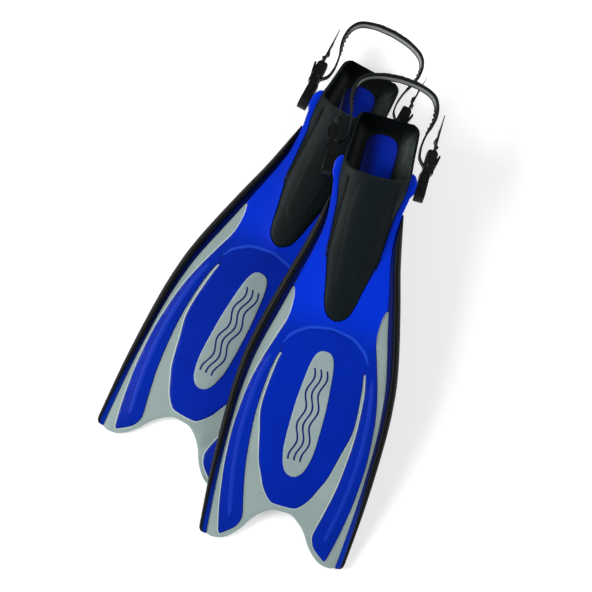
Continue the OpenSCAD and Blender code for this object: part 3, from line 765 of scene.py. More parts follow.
frameHalf += [Vector((lugOut - lug["rootStep"], shoulderTop)), Vector((lugOut, lug["span"][1]))]
frameStations = [between(stripTop, leafTop, q) for q in even(shoulders["steps"] + 1)]
frameHalf += [Vector((stripIn(s) - blade["seam"], s)) for s in frameStations]
frameHalf += leafLine + legLine + arcLine[::-1]
legInner = legLine[::-1]


def frameLift(d, s):
    # keel along each leg, and a ramp up to the pocket
    inner, outer = across(legInner, s), across(leafLine, s)
    fade = smooth(*shoulders["keelStart"], s) * (1 - smooth(*shoulders["keelEnd"], s))
    half = max((outer - inner) / 2, 1)
    keel = shoulders["keel"] * fade * cos(min(abs(d - inner - half) / half, 1) * pi / 2) ** 2
    away = d - upperHalf(s) if s < pocket["length"] else hypot(d, s - pocket["length"])
    ramp = shoulders["ramp"] * exp(-max(away, 0) / shoulders["rampReach"])
    return keel + ramp * smooth(*shoulders["rampFade"], s)


def arcDepth(d, s):
    # the step between shoulder and centre panel is blue on blue, so its rim is shallow and light
    onArc = d < arcLine[-1][0] + shoulders["arcPast"] and s < ahead(shoulders["arcEnd"])
    return shoulders["arcDepth"] if onArc else 1


def lugRing(s):
    # section of a strap lug: a round boss under the shoulder that thins out to a nose towards the heel
    low, high = lug["span"]
    nose = sqrt(min(max(s - low, lug["noseLeast"]) / lug["noseRound"], 1))
    swell, fall = smooth(*lug["swell"], s - low), smooth(*lug["fall"], s - high)
    reach = between(lug["nose"], lug["face"] - lugIn, swell)
    reach = lugIn + reach * (1 - lug["fallShare"] * fall) * nose
    thick = skinTop * between(lug["noseThick"], 1, nose)
    top, under = deck(s) + thick, deck(s) - thick
    fromStud = s - finRest["studStation"]
    if abs(fromStud) < lug["radius"]:
        under = finRest["studHeight"] - sqrt(lug["radius"] ** 2 - fromStud ** 2)
    ease = min(lug["ease"], (reach - lugIn) / 3, (top - under) / 3)
    ring = [(lugIn - lug["under"], under), (lugIn - lug["under"], top)]
    ring += [(reach - ease + ease * c, top - ease + ease * d) for c, d in arc(90, -1, -30)]
    ring += [(reach - ease + ease * c, under + ease + ease * d) for c, d in arc(0, -91, -30)]
    return ring


def lugRings(side):
    low, high = lug["span"]
    stations = [low + q for q in lug["noseRows"]]
    stations += [finRest["studStation"] - lug["radius"] * c for c, d in arc(0, 181, 15)]
    stations += [high - q for q in lug["endRows"]]
    toBlade = toFin.inverted()
    return [[toBlade @ Vector((side * x, -s, z)) for x, z in lugRing(s)] for s in stations]


frameMesh = plate(mirrored(frameHalf), skinTop, shoulders["rim"], shoulders["grid"], frameLift, arcDepth)
for side in sides.values():
    sweep(frameMesh, lugRings(side))
bothFins("blade_frame", frameMesh, bladeMatrix, "frameBlue")

# Thin bead along the crest of each leg
bead = {"start": 352, "end": 628, "half": 3.4, "tall": 0.4, "share": 0.54, "steps": 70, "sink": 0.25,
        "root": 1.2, "taper": (0.1, 0.1, 0.08), "endHalf": 0.4}


def beadRings(side, face):
    rings = []
    for q in even(bead["steps"] + 1):
        s = between(bead["start"], bead["end"], q)
        d = between(across(legInner, s), across(leafLine, s), bead["share"])
        ends = taper(q, *bead["taper"])
        base = skinTop + frameLift(d, s)
        half = bead["half"] * between(bead["endHalf"], 1, ends)
        ring = [(half * x, base - bead["sink"] + bead["tall"] * ends * z) for x, z in crown]
        ring += [(half, base - bead["root"]), (-half, base - bead["root"])]
        rings.append([(side * (d + x), bladeY(s), face * z) for x, z in ring])
    return rings


def markCrest(bm, roots):
    # marks each ring's crown, most at its middle, for a painted crest highlight, and leaves its root points
    layer = bm.verts.layers.float["face"]
    last = len(crown) - 1
    for k, v in enumerate(bm.verts):
        v[layer] = max(0, sin(pi * min(k % (len(crown) + roots), last) / last))


for name, side in sides.items():
    beadMesh = startMesh()
    for face in (1, -1):
        sweep(beadMesh, beadRings(side, face))
    markCrest(beadMesh, 2)
    setPlace(beadMesh, onBlade)
    bothFins(name + "_leg_bead", beadMesh, bladeMatrix, "beadBlue", detail=True)
print("blade frames made")

# Blue centre panel and its oval badge
panel = {"rim": 1.0, "grid": 6, "sink": 0.5,
         "badgeRise": 0.8, "badgeRim": 0.9, "badgeGrid": 6, "badgeFit": 0.992}
panelHalf = [Vector((max(p[0] - blade["seam"], 0), p[1] + blade["seam"])) for p in arcLine]
panelHalf += [Vector((max(p[0] - blade["seam"], 0), p[1])) for p in panelLine]
panelMesh = plate(mirrored(panelHalf), skinTop - panel["sink"], panel["rim"], panel["grid"], depth=arcDepth)
bothFins("center_panel", panelMesh, bladeMatrix, "panelBlue")


def badgeMesh():
    # only the part above the core plate is kept
    outline = [Vector((p[0] * panel["badgeFit"], p[1])) for p in mirrored(badgeLine)]
    bm = plate(outline, skinTop + panel["badgeRise"], panel["badgeRim"], panel["badgeGrid"])
    bmesh.ops.bisect_plane(bm, geom=everything(bm), dist=nearby, plane_co=(0, 0, blade["plate"] / 2),
                           plane_no=(0, 0, 1), clear_inner=True)
    bmesh.ops.holes_fill(bm, edges=boundary(bm), sides=0)
    layer = bm.verts.layers.float["face"]
    for v in bm.verts:
        v[layer] = float(v.co.z > skinTop)
    return bm


bothFins("badge_plate", badgeMesh(), bladeMatrix, "badgeGrey")
print("panels and badges made")

# Raised lines on both faces: a pale lip of the core round each blue shape, its pale grey a painted highlight,
# and a soft line over the panel in a lighter blue, a painted highlight along the step
lip = {"out": 0.7, "half": 0.95, "tall": 0.4, "sink": 0.05, "root": 0.8,
       "arcHalf": 2.4, "arcTall": 0.3, "arcSink": 0.12, "arcFade": 0.3, "arcLeast": 0.05}


def lineRings(path, side, face, half, height):
    # a low bead along a path of lateral places and stations, its height given by a function of the share run
    rings = []
    for i, p in enumerate(path):
        out = outward(path, i)
        low, tall = height(p, i / (len(path) - 1))
        ring = []
        for x, z in crown:
            q = p + out * half * x
            ring.append((side * q.x, bladeY(q.y), face * (low + tall * z)))
        ring.append((side * p.x, bladeY(p.y), face * (low - lip["root"])))
        rings.append(ring)
    return rings


def besides(path, gap):
    # the path moved outwards by a gap
    return [p + outward(path, i) * gap for i, p in enumerate(path)]


def lipHeight(p, share):
    return blade["plate"] / 2 - lip["sink"], lip["tall"]


def arcHeight(p, share):
    fade = max(smooth(1, 1 - lip["arcFade"], share), lip["arcLeast"])
    return skinTop + frameLift(abs(p.x), p.y) - lip["arcSink"], lip["arcTall"] * fade


legPath = besides(leafLine + legLine, lip["out"])
panelPath = besides(panelLine, lip["out"])
for name, side in sides.items():
    lipMesh, arcMesh = startMesh(), startMesh()
    for face in (1, -1):
        for path in (legPath, panelPath):
            sweep(lipMesh, lineRings(path, side, face, lip["half"], lipHeight))
        sweep(arcMesh, lineRings(arcLine, side, face, lip["arcHalf"], arcHeight))
    markCrest(arcMesh, 1)
    setPlace(lipMesh, onBlade)
    setPlace(arcMesh, onBlade)
    bothFins(name + "_blade_lip", lipMesh, bladeMatrix, "lipGrey", detail=True)
    bothFins(name + "_arc_line", arcMesh, bladeMatrix, "arcBlue", detail=True)
print("lips and arc lines made")

# Rails and edge strips, swept along the blade's sides
railSweep = {"steps": 110, "endRows": [6, 4.8, 3.6, 2.5, 1.6, 0.8, 0.3, 0], "round": 5, "least": 0.12,
             "ring": [[0, 0.9], [0.1, 0.97], [0.17, 0.98], [0.22, 0.88], [0.28, 0.88], [0.33, 0.99],
                      [0.46, 1], [0.62, 0.95], [0.77, 0.82], [0.89, 0.58], [0.97, 0.28]]}
stripSweep = {"lip": 1.3, "lipEase": 0.5, "tall": 0.82, "hollow": 1.7,
              "shares": [0.06, 0.25, 0.45, 0.65, 0.85, 1]}
railRun = railEnd - railSweep["endRows"][0] - blade["railStart"]
railStations = [blade["railStart"] + railRun * q for q in even(railSweep["steps"] + 1)]
railStations += [railEnd - q for q in railSweep["endRows"][1:]]


def railRing(side, s):
    # a groove runs along the top, and the end is rounded
    past = max(0, (s - railEnd + railSweep["round"]) / railSweep["round"])
    w, h = railWidth(s), railHeight(s) * sqrt(max(1 - past ** 2, railSweep["least"]))
    upper = railSweep["ring"]
    whole = upper + [[1, 0]] + [[a, -b] for a, b in reversed(upper)]
    return [(side * (edge(s) - w * (1 - a)), bladeY(s), h * b) for a, b in whole]


def stripRing(side, s):
    # slotted over the plate's edge, and rising in a hollow from its lip to the rail
    a, b, m = stripIn(s), stripOut(s) - blade["seam"], slotIn(s)
    slot = blade["plate"] / 2 + blade["seam"] / 2
    top = stripSweep["tall"] * railHeight(s)
    low = min(slot + stripSweep["lip"], top)
    upper = [(m, slot), (a, slot), (a, low - stripSweep["lipEase"])]
    hollow = stripSweep["hollow"]
    upper += [(between(a, b, q), between(low, top, q ** hollow)) for q in stripSweep["shares"]]
    whole = upper + [(x, -z) for x, z in reversed(upper)]
    return [(side * x, bladeY(s), z) for x, z in whole]


def markRailShade(bm):
    # mark for painted shade: nothing at the slot and the lip, and most beside the rail
    shares = [0, 0, 0] + stripSweep["shares"]
    shares = shares + shares[::-1]
    layer = bm.verts.layers.float["face"]
    for k, v in enumerate(bm.verts):
        v[layer] = shares[k % len(shares)]


for name, side in sides.items():
    railMesh = sweep(startMesh(), [railRing(side, s) for s in railStations])
    setPlace(railMesh, onBlade)
    bothFins(name + "_rail", railMesh, bladeMatrix, "railRubber")
    stripMesh = sweep(startMesh(), [stripRing(side, s) for s in railStations])
    markRailShade(stripMesh)
    setPlace(stripMesh, onBlade)
    bothFins(name + "_edge_strip", stripMesh, bladeMatrix, "stripNavy", sharp=30)
print("rails and strips made")

# Rubber foot pocket: one chain of points per row, from under the sole over the rim to the floor inside
rimShape = [[-0.06, 0], [0.07, 0], [0.48, 0.26], [0.79, 0.68], [1, 1.03]]
rimRise = upperTop(pocket["rimEnd"]) - pocket["heelRim"]
rimCurve = curve([(pocket["rimEnd"] * q, pocket["heelRim"] + rimRise * k) for q, k in rimShape],
                 pocket["rimSteps"])
counts = {"bottom": 6, "corner": 5, "wall": 9, "shelf": 4, "arch": 38, "bead": 3}
rimBead = {"tall": 0.9, "fade": 12, "edge": 0.12, "edgeFade": 10, "edgeTall": 0.7}
corners = {"outer": (8, 0.2), "inner": (15, 0.34)}  # height of the sole's corner, and its share of the width
pocketRows = {"heel": [0, 0.5, 1.4, 2.6, 4, 5.2, 6.4, 7.8, 9.4, 11, 12.5, 14, 15.5],
              "upright": [17, 2.5, 20],  # first station, step and count
              "leanStart": 66, "leaning": 27,
              "outer": even(63)[1:58] + [0.935, 0.95, 0.963, 0.974, 0.983, 0.99, 0.996, 1],
              "inner": even(41)[1:38] + [0.95, 0.97, 0.985, 0.995, 1]}
instepPanel = {"wide": [[98, 19], [135, 21], [180, 18.5], [225, 15], [256, 13]], "top": 101, "end": 256,
               "sag": 12, "corner": 8, "cornerDrop": 7, "cornerPower": 6, "soft": 1, "arcPoints": 9,
               "sideGap": 2, "sideStep": 4, "topShares": (0.4, 0.2, 0), "lineHalf": 0.7,
               "lineTall": 0.5, "lineRoot": 1}


def rimHeight(s):
    return across([(p[1], p[0]) for p in rimCurve], s)


def findRimFront(halvings=30):
    # station where the rim line meets the top of the instep
    low, high = pocketRows["leanStart"], pocket["rimEnd"]
    for _ in range(halvings):
        mid = (low + high) / 2
        low, high = (mid, high) if rimHeight(mid) < upperTop(mid) else (low, mid)
    return high


rimFront = findRimFront()


def panelHalfWide(s):
    return at(instepPanel["wide"], s)


def toePanel(d, s):
    # faint raised panel over the instep, ending in an arc above the toe
    wide = panelHalfWide(s)
    top = instepPanel["top"] + instepPanel["cornerDrop"] * (d / wide) ** instepPanel["cornerPower"]
    end = instepPanel["end"] - instepPanel["sag"] * (d / wide) ** 2
    soft = instepPanel["soft"]
    alongIt = smooth(top - soft, top + soft, s) * smooth(end + soft, end - soft, s)
    return smooth(wide + soft, wide - soft, d) * alongIt


def halfSection(s, inset, corner, low, high):
    # the pocket's section at a station as five runs from the middle of the bottom to the middle of the top
    sole = soleHalf(s) if s > pocket["instep"] else max(soleHalf(s), upperHalf(s))
    b = max(upperHalf(s) - inset, pocket["leastArch"])
    c = max(sole - inset, b, pocket["leastSole"])
    z = deck(s) - shelf - inset
    arch = deck(s) + shelf
    bend, fold = corner
    bottom = [Vector((0, low)), Vector(((1 - fold) * c, low))]
    turn = [Vector((c * (1 - fold + fold * y), low + bend * (1 - x))) for x, y in arc(0, 91, 10)]
    wall = [Vector((c, low + bend)), Vector((c, max(z - pocket["ledgeDrop"], low + bend + 1)))]
    ledge = [wall[-1]] + [Vector((between(b, c, q), z - drop)) for q, drop in pocket["ledge"]]
    power = pocket["arch"]
    roof = [Vector((b * x ** power, between(arch, high, y ** power))) for x, y in arc(0, 90, 5)]
    return bottom, turn, wall, ledge, [Vector((b, z))] + roof + [Vector((0, high))]


@lru_cache(maxsize=64)
def outerRuns(s):
    return halfSection(s, 0, corners["outer"], pocket["bottom"], upperTop(s))


@lru_cache(maxsize=64)
def innerRuns(s):
    k = innerStation(max(s, pocket["wall"] + 1))
    return halfSection(k, pocket["wall"], corners["inner"], pocket["floor"], upperTop(s) - pocket["wall"])


def innerStation(s):
    # the cavity ends short of the toe, so its sections are spread over the whole length
    deep = pocket["length"] - pocket["toeWall"]
    past = (s - pocket["instep"]) / (deep - pocket["instep"])
    return s if s < pocket["instep"] else between(pocket["instep"], pocket["length"], past)


fullReach = [lengthOf(run) for run in outerRuns(pocket["instep"])[2:]]
riseKnots = [sum(fullReach[:k]) / sum(fullReach) for k in range(4)]
riseShares = []
for k, name in enumerate(("wall", "shelf", "arch")):
    riseShares += [between(riseKnots[k], riseKnots[k + 1], q) for q in even(counts[name] + 1)[1:]]


def riseAt(runs, share):
    # point above the sole's corner: wall, shelf and arch end at the same shares in every section
    i = 0 if share < riseKnots[1] else 1 if share < riseKnots[2] else 2
    return resample(runs[2 + i], [(share - riseKnots[i]) / (riseKnots[i + 1] - riseKnots[i])])[0]


def cutShare(runs, cut):
    # share at which the rim cuts the section off
    for i, run in enumerate(runs[2:]):
        done = 0
        for a, b in zip(run, run[1:]):
            if b.y >= cut:
                done += (b - a).length * (cut - a.y) / max(b.y - a.y, 1e-6)
                return between(riseKnots[i], riseKnots[i + 1], done / lengthOf(run))
            done += (b - a).length
    return 1


def chain(runsAt, cut, low, high):
    # half a section that leans from one station at the sole to another at the rim
    runs = runsAt(low)
    foot = resample(runs[0], even(counts["bottom"]))[:-1] + resample(runs[1], even(counts["corner"]))
    points = [Vector((p.x, -low, p.y)) for p in foot]
    top = cutShare(runsAt(high), cut)
    for share in riseShares:
        s = between(low, high, share)
        p = riseAt(runsAt(s), share * top)
        points.append(Vector((p.x, -s, p.y)))
    return points


def outerHalf(low, high):
    points = chain(outerRuns, rimHeight(high), low, high)
    for p in points[counts["bottom"] + counts["corner"]:]:
        p.z += pocket["panelLift"] * toePanel(p.x, -p.y)
    return points


def softMost(a, b, reach):
    # the larger of two numbers, rounded over where they are close
    near = max(reach - abs(a - b), 0)
    return max(a, b) + near * near / max(4 * reach, nearby)


def innerHalf(low, high):
    # the cavity, scooped up to the rim at the heel
    cut = rimHeight(innerStation(max(high, pocket["wall"] + 1)))
    deep = chain(innerRuns, cut, low, high)
    start = pocket["scoopStart"]
    rise = (1 - min(max(low - start, 0) / (pocket["scoop"] - start), 1)) ** 2
    if rise == 0:
        return deep
    rim = outerHalf(low, high)[-1]
    level = between(pocket["floor"], rim.z, rise)
    narrow = min(1, (rim.x - pocket["rimInside"]) / deep[-1].x)
    blend = pocket["scoopRound"] * min(1, pocket["scoopGrow"] * rise)
    for p in deep:
        p.x *= narrow
        p.z = min(rim.z, softMost(p.z, level, blend))
    return deep


def rimRun(s, outer, inner):
    # a small rounded bead over the cut edge, square to the rim line
    rise = rimHeight(s + 0.5) - rimHeight(s - 0.5)
    out = Vector((0, rise, 1)).normalized() * rimBead["tall"] * min(1, outer.x / rimBead["fade"])
    closed = inner.z < outer.z - 0.01 and inner.x < 0.01
    far = Vector((0, outer.y, outer.z)) if closed else inner
    near = min(1, pocket["wall"] / max((far - outer).length, 0.01))
    start = rimBead["edge"] * near
    last = 1 - start * min(1, inner.x / rimBead["edgeFade"])
    steps = ((start, rimBead["edgeTall"]), (near / 2, 1), (last, rimBead["edgeTall"]))
    return [outer.lerp(far, q) + out * swell for q, swell in steps]


def openChain(low, high):
    outer, inner = outerHalf(low, high), innerHalf(low, high)
    return outer + rimRun(high, outer[-1], inner[-1]) + inner[::-1]


def openPairs():
    # stations at the sole and at the rim of each half section; towards the instep they lean more and more
    first, step, count = pocketRows["upright"]
    upright = pocketRows["heel"] + [first + step * k for k in range(count)]
    start = pocketRows["leanStart"]
    leaning = [(between(start, pocket["leanFoot"], q), between(rimFront, start, (1 - q) ** 2))
               for q in even(pocketRows["leaning"])]
    return [(s, s) for s in upright] + leaning


def closedPairs(end, shares):
    foot = pocket["leanFoot"]
    return [(between(foot, end, q), between(rimFront, end, q)) for q in shares]


def pocketMesh():
    bm = startMesh()
    face = bm.verts.layers.float["face"]
    pairs = openPairs()
    outerCount = len(outerHalf(*pairs[-1]))
    innerFrom = outerCount + counts["bead"]
    ring, edges = ringEdges(bm, openChain(*pairs[0]), False)
    for pair in pairs[1:]:
        ring, edges = grow(bm, ring, edges, openChain(*pair))
        for v in ring[innerFrom:]:
            v[face] = 1
    outer = ring[:outerCount]
    edges = edgesAlong(bm, outer)
    for pair in closedPairs(pocket["length"], pocketRows["outer"]):
        outer, edges = grow(bm, outer, edges, outerHalf(*pair))
    inner = ring[innerFrom:]
    edges = edgesAlong(bm, inner)
    for pair in closedPairs(pocket["length"] - pocket["toeWall"], pocketRows["inner"]):
        inner, edges = grow(bm, inner, edges, innerHalf(*pair)[::-1])
        for v in inner:
            v[face] = 1
    for v in bm.verts:
        if abs(v.co.x) < pocket["merge"]:
            v.co.x = 0
    bmesh.ops.mirror(bm, geom=everything(bm), merge_dist=pocket["merge"] / 2, axis="X")
    bmesh.ops.remove_doubles(bm, verts=bm.verts, dist=pocket["merge"])
    folded = [f for f in bm.faces if all(abs(v.co.x) < nearby for v in f.verts)]
    bmesh.ops.delete(bm, geom=folded, context="FACES")
    bmesh.ops.holes_fill(bm, edges=boundary(bm), sides=0)
    setPlace(bm, onFin)
    return bm


pocketBody = pocketMesh()
print("foot pockets made, open edges:", len(boundary(pocketBody)))
bothFins("foot_pocket", pocketBody, finMatrix, "pocketRubber", sharp=75)

# Line round the raised instep panel, and side ribs that stand on the pocket and run out over the blade
rib = {"offset": 37, "start": 92, "end": 222, "wide": 4.2, "tall": 2.2, "steps": 48, "points": 9,
       "sink": 0.4, "root": 2.5, "rootHalf": 1.2, "taper": (0.05, 0.2, 0.06), "endHalf": 0.4, "power": 0.8}


def topSurface(d, s):
    # height of the pocket's upper, or of the blade beside it
    b = upperHalf(s)
    skin = deck(s) + skinTop / cos(slope) + frameLift(d, s)
    if d >= b:
        return skin
    t = acos((d / b) ** (1 / pocket["arch"]))
    arch = deck(s) + shelf
    return max(skin, between(arch, upperTop(s), sin(t) ** pocket["arch"]))


def panelSurface(p):
    return topSurface(abs(p.x), p.y) + 0.5 * pocket["panelLift"]


def panelOutline():
    # right half of the raised instep panel's outline, from its lower middle up to its top middle
    low, high = instepPanel["end"], instepPanel["top"]
    c = instepPanel["corner"]
    half = [Vector((panelHalfWide(low) * q, low - instepPanel["sag"] * q ** 2))
            for q in even(instepPanel["arcPoints"])]
    foot = low - instepPanel["sag"] - instepPanel["sideGap"]
    rise = spread(high + c, foot, instepPanel["sideStep"])[::-1]
    half += [Vector((panelHalfWide(s), s)) for s in rise]
    wide = panelHalfWide(high + c)
    half += [Vector((wide - c + c * x, high + c - c * y)) for x, y in arc(0, 91, 10)]
    return half + [Vector((wide * q, high)) for q in instepPanel["topShares"]]


def panelRings():
    half = panelOutline()
    loop = half + [Vector((-p.x, p.y)) for p in reversed(half[1:-1])]
    rings = []
    for i, p in enumerate(loop):
        out = outward(loop, i, True)
        ring = []
        for x, z in arc(180, -1, -45):
            q = p + out * instepPanel["lineHalf"] * x
            ring.append((q.x, -q.y, panelSurface(q) + instepPanel["lineTall"] * z))
        ring.append((p.x, -p.y, panelSurface(p) - instepPanel["lineRoot"]))
        rings.append(ring)
    return rings


def instepLine():
    bm = startMesh()
    rings = panelRings()
    ring, edges = ringEdges(bm, rings[0], True)
    for points in rings[1:] + rings[:1]:
        ring, edges = grow(bm, ring, edges, points)
    bmesh.ops.remove_doubles(bm, verts=bm.verts, dist=nearby)
    setPlace(bm, onFin)
    return bm


def ribRings(side):
    rings = []
    for q in even(rib["steps"] + 1):
        s = between(rib["start"], rib["end"], q)
        ends = taper(q, *rib["taper"])
        ring = []
        for share in even(rib["points"]):
            a = radians(180 - 180 * share)
            d = rib["offset"] + rib["wide"] / 2 * cos(a) * between(rib["endHalf"], 1, ends)
            rise = rib["tall"] * ends * sin(a) ** rib["power"]
            ring.append((side * d, -s, topSurface(d, s) - rib["sink"] + rise))
        low = topSurface(rib["offset"], s) - rib["root"]
        ring += [(side * (rib["offset"] + x), -s, low) for x in (rib["rootHalf"], -rib["rootHalf"])]
        rings.append(ring)
    return rings


bothFins("instep_line", instepLine(), finMatrix, "pocketRubber", detail=True)
for name, side in sides.items():
    ribMesh = sweep(startMesh(), ribRings(side))
    setPlace(ribMesh, onFin)
    bothFins(name + "_pocket_rib", ribMesh, finMatrix, "ribBlack", detail=True)
print("instep lines and pocket ribs made")

# Blue foot bed that shows through the pocket's floor, with the plate under it
bed = {"half": 24, "start": 24, "squareness": 0.78, "end": 150, "top": 11.7, "low": 6.5, "dish": 0.5,
       "rim": 1.6, "rimSteps": ((0.3, 0.75, 1), (0.7, 0.22, 0.5), (0.7, 0, 0.1))}


def bedMesh():
    bm = startMesh()
    middle = bed["start"] + bed["half"]
    outline = [Vector((bed["half"] * y ** bed["squareness"], -middle + bed["half"] * x ** bed["squareness"]))
               for x, y in arc(0, 91, 6)]
    points = mirrored(outline + [Vector((bed["half"], -bed["end"]))])
    ring, edges = ringEdges(bm, [(p.x, p.y, bed["low"]) for p in points], True)
    bmesh.ops.edgeloop_fill(bm, edges=edges)
    ring, edges = grow(bm, ring, edges, [(p.x, p.y, bed["top"]) for p in points])
    lid = bmesh.ops.edgeloop_fill(bm, edges=edges)["faces"]
    roundRim(bm, lid, bed["rim"], bed["rimSteps"])
    for v in lid[0].verts:
        v.co.z -= bed["dish"]
    setPlace(bm, onFin)
    return bm


bothFins("sole_plate", bedMesh(), finMatrix, "bedBlue")
print("foot beds made")

# Heel strap: free tail, turn round the roller, loop behind the heel, then the same on the other side
strap = {"wide": 22, "thick": 3, "side": 52.4, "rollerU": 37.5, "rollerX": 67, "wrap": 4.3, "tailX": 71.3,
         "tail": 76, "tailPoints": 19, "lean": 1.5, "run": 109, "bulge": 8.8, "pitch": 7.5,
         "tooth": 2, "toothHalf": 0.36, "rack": [82, 121], "pad": 30, "padThick": 0.9,
         "padRib": [0.5, 9], "twist": 6, "twistFrom": [30, 80], "step": 1.2,
         "stripe": [112, 134], "stripePoints": [5, 7], "turn": 135, "turnStep": 15, "loopSteps": 10,
         "tailPast": 8, "twistPast": 20, "rackEase": 3, "padEase": 8, "edgeFall": 8, "humpPower": 0.7}
strapThick = {"tip": 0.26, "tail": 0.66, "tailRun": 46, "turn": 0.8, "turnRun": 16, "rack": 0.2,
              "rackFrom": [78, 90], "back": 0.45, "backFrom": [112, 135]}
strapTail = {"tipWide": 0.62, "tipRun": 16, "knob": (38.6, 4.5, 2.6), "ridge": (23.6, 5, 0.7),
             "catch": (47.6, 3, 3)}  # place from the tip, half length and height
loopSide = [[0.25, 0.07], [0.02, 0.16], [0, 0.25], [0.24, 0.383], [0.73, 0.507], [1, 0.639], [0.73, 0.78]]
loopBack = [[0.943, 0.9], [0.542, 0.974], [0, 1]]
strapEdge = [(1, 0.3), (0.975, 0.75), (0.92, 1), (0.82, 1), (0.78, 0.8), (0.4, 0.8)]
strapFace = [(-w, n) for w, n in strapEdge] + [(0, 0.8)] + strapEdge[::-1]


def strapLine():
    # half of the strap's middle line, from the tail's tip to the heel's middle
    roller = Vector((strap["rollerX"], strap["rollerU"]))
    tail = [Vector((strap["tailX"] + strap["lean"] * q * q, strap["rollerU"] + strap["tail"] * q))
            for q in (k / strap["tailPoints"] for k in range(strap["tailPoints"], 0, -1))]
    turn = [roller + strap["wrap"] * Vector(p) for p in arc(0, -strap["turn"] - 1, -strap["turnStep"])]
    heading = radians(strap["turn"])
    leave = turn[-1] + strap["wrap"] * Vector((cos(heading), sin(heading)))
    loop = [(strap["side"] + strap["bulge"] * a, q) for a, q in loopSide]
    loop += [(strap["side"] * a, q) for a, q in loopBack]
    knots = [leave] + [Vector((x, strap["rollerU"] + strap["run"] * q)) for x, q in loop]
    return tail + turn + curve(knots, strap["loopSteps"])


def hump(x, middle, half, tall):
    return tall * max(0, cos(min(abs(x - middle) / half, 1) * pi / 2)) ** strap["humpPower"]


def strapSection(far, u, toMiddle):
    # section of the strap at a distance from its tail's tip: outer face first, then the inner face
    onTail = strapThick["tip"] + strapThick["tail"] * smooth(0, strapThick["tailRun"], far)
    onLoop = strapThick["turn"] + strapThick["rack"] * smooth(*strapThick["rackFrom"], u)
    onLoop += strapThick["back"] * smooth(*strapThick["backFrom"], u)
    pastTurn = smooth(strap["tail"], strap["tail"] + strapThick["turnRun"], far)
    t = strap["thick"] / 2 * between(onTail, onLoop, pastTurn)
    wide = strap["wide"] / 2 * between(strapTail["tipWide"], 1, smooth(0, strapTail["tipRun"], far))
    if far < strap["tail"] + strap["tailPast"]:
        outSwell = hump(far, *strapTail["knob"]) + hump(far, *strapTail["ridge"])
        inSwell = hump(far, *strapTail["catch"])
    else:
        low, high = strap["rack"]
        ease = strap["rackEase"]
        rack = smooth(low, low + ease, u) * (1 - smooth(high - ease, high, u))
        inSwell = rack * hump((far / strap["pitch"]) % 1, 0.5, strap["toothHalf"], strap["tooth"])
        pad = 1 - smooth(strap["pad"] - strap["padEase"], strap["pad"], toMiddle)
        tall, pitch = strap["padRib"]
        outSwell = pad * (strap["padThick"] + tall * max(0, cos(toMiddle * 2 * pi / pitch)) ** 2)
    face = [(w, n, min(1, strap["edgeFall"] * (1 - abs(w)))) for w, n in strapFace]
    ring = [(w * wide, t * n + outSwell * fall) for w, n, fall in face]
    return ring + [(w * wide, -t * n - inSwell * fall) for w, n, fall in reversed(face)]


def strapMesh():
    half = strapLine()
    line = half + [Vector((-p.x, p.y)) for p in reversed(half[:-1])]
    reach = lengthOf(line)
    count = int(reach / strap["step"])
    middle = resample(line, even(count + 1))
    rings = []
    for i, p in enumerate(middle):
        out = outward(middle, i)
        far = reach / count * min(i, count - i)
        twist = 0
        if far > strap["tail"] + strap["twistPast"]:
            twist = radians(strap["twist"]) * smooth(*[strap["rollerU"] + u for u in strap["twistFrom"]], p.y)
        ring = []
        for w, n in strapSection(far, p.y, reach / 2 - far):
            lean = n * cos(twist) + w * sin(twist)
            ring.append(Vector((p.x + out.x * lean, p.y + out.y * lean, w * cos(twist) - n * sin(twist))))
        rings.append(ring)
    bm = sweep(startMesh(), rings)
    markStripe(bm)
    setPlace(bm, onStrap)
    return bm


def markStripe(bm):
    # painted highlight: a pale stripe along the middle of the inner face, behind the heel
    layer = bm.verts.layers.float["rim"]
    low, high = [len(strapFace) + k for k in strap["stripePoints"]]
    for k, v in enumerate(bm.verts):
        v[layer] = smooth(*strap["stripe"], v.co.y) if low <= k % (2 * len(strapFace)) <= high else 0


bothFins("heel_strap", strapMesh(), strapMatrix, "strapRubber", sharp=60, body="_strap")
print("heel straps made")

# Buckles: the solids' own shapes with eased edges, and the ribs, rims and grips that the solids leave out
buckle = {"lugFace": 60, "half": 15, "base": [0.4, 14.4], "ring": [8.9, 0.6], "slot": [9, 25.5, 10.5],
          "ribs": [2, 4.2, 6.4, 8.6], "rib": (9, 1.1, 0.9), "edgeLines": [4.6, 14.9],
          "edgeLine": (1.1, 24, 0.9), "lineMiddle": 43, "leverFoot": [18.8, 38],
          "leverTip": [22.05, 55], "grips": [43, 46, 49, 52], "grip": (1, 1.4, 18.4),
          "button": [7.2, 17], "ridges": [14.6, 16.6, 18.6, 20.6], "ridge": (3.7, 0.9, 0.8),
          "proud": 0.1, "ribEase": 0.25, "lineEase": 0.3, "gripEase": 0.35, "ringPoints": (10, 40)}
eases = {"_buckle_base": 0.8, "_buckle_frame": 0.7, "_ratchet_lever": 0.6, "_strap_roller": 0.3}
buttonEase = 0.5
flatAngle = 1.5  # degrees: flatter edges are dissolved, sharper ones eased
sharpAngle = 30


def buckleMatrix(fin, side):
    return strapMatrix(fin) @ Matrix.Diagonal((side, 1, 1, 1)) @ Matrix.Translation((buckle["lugFace"], 0, 0))


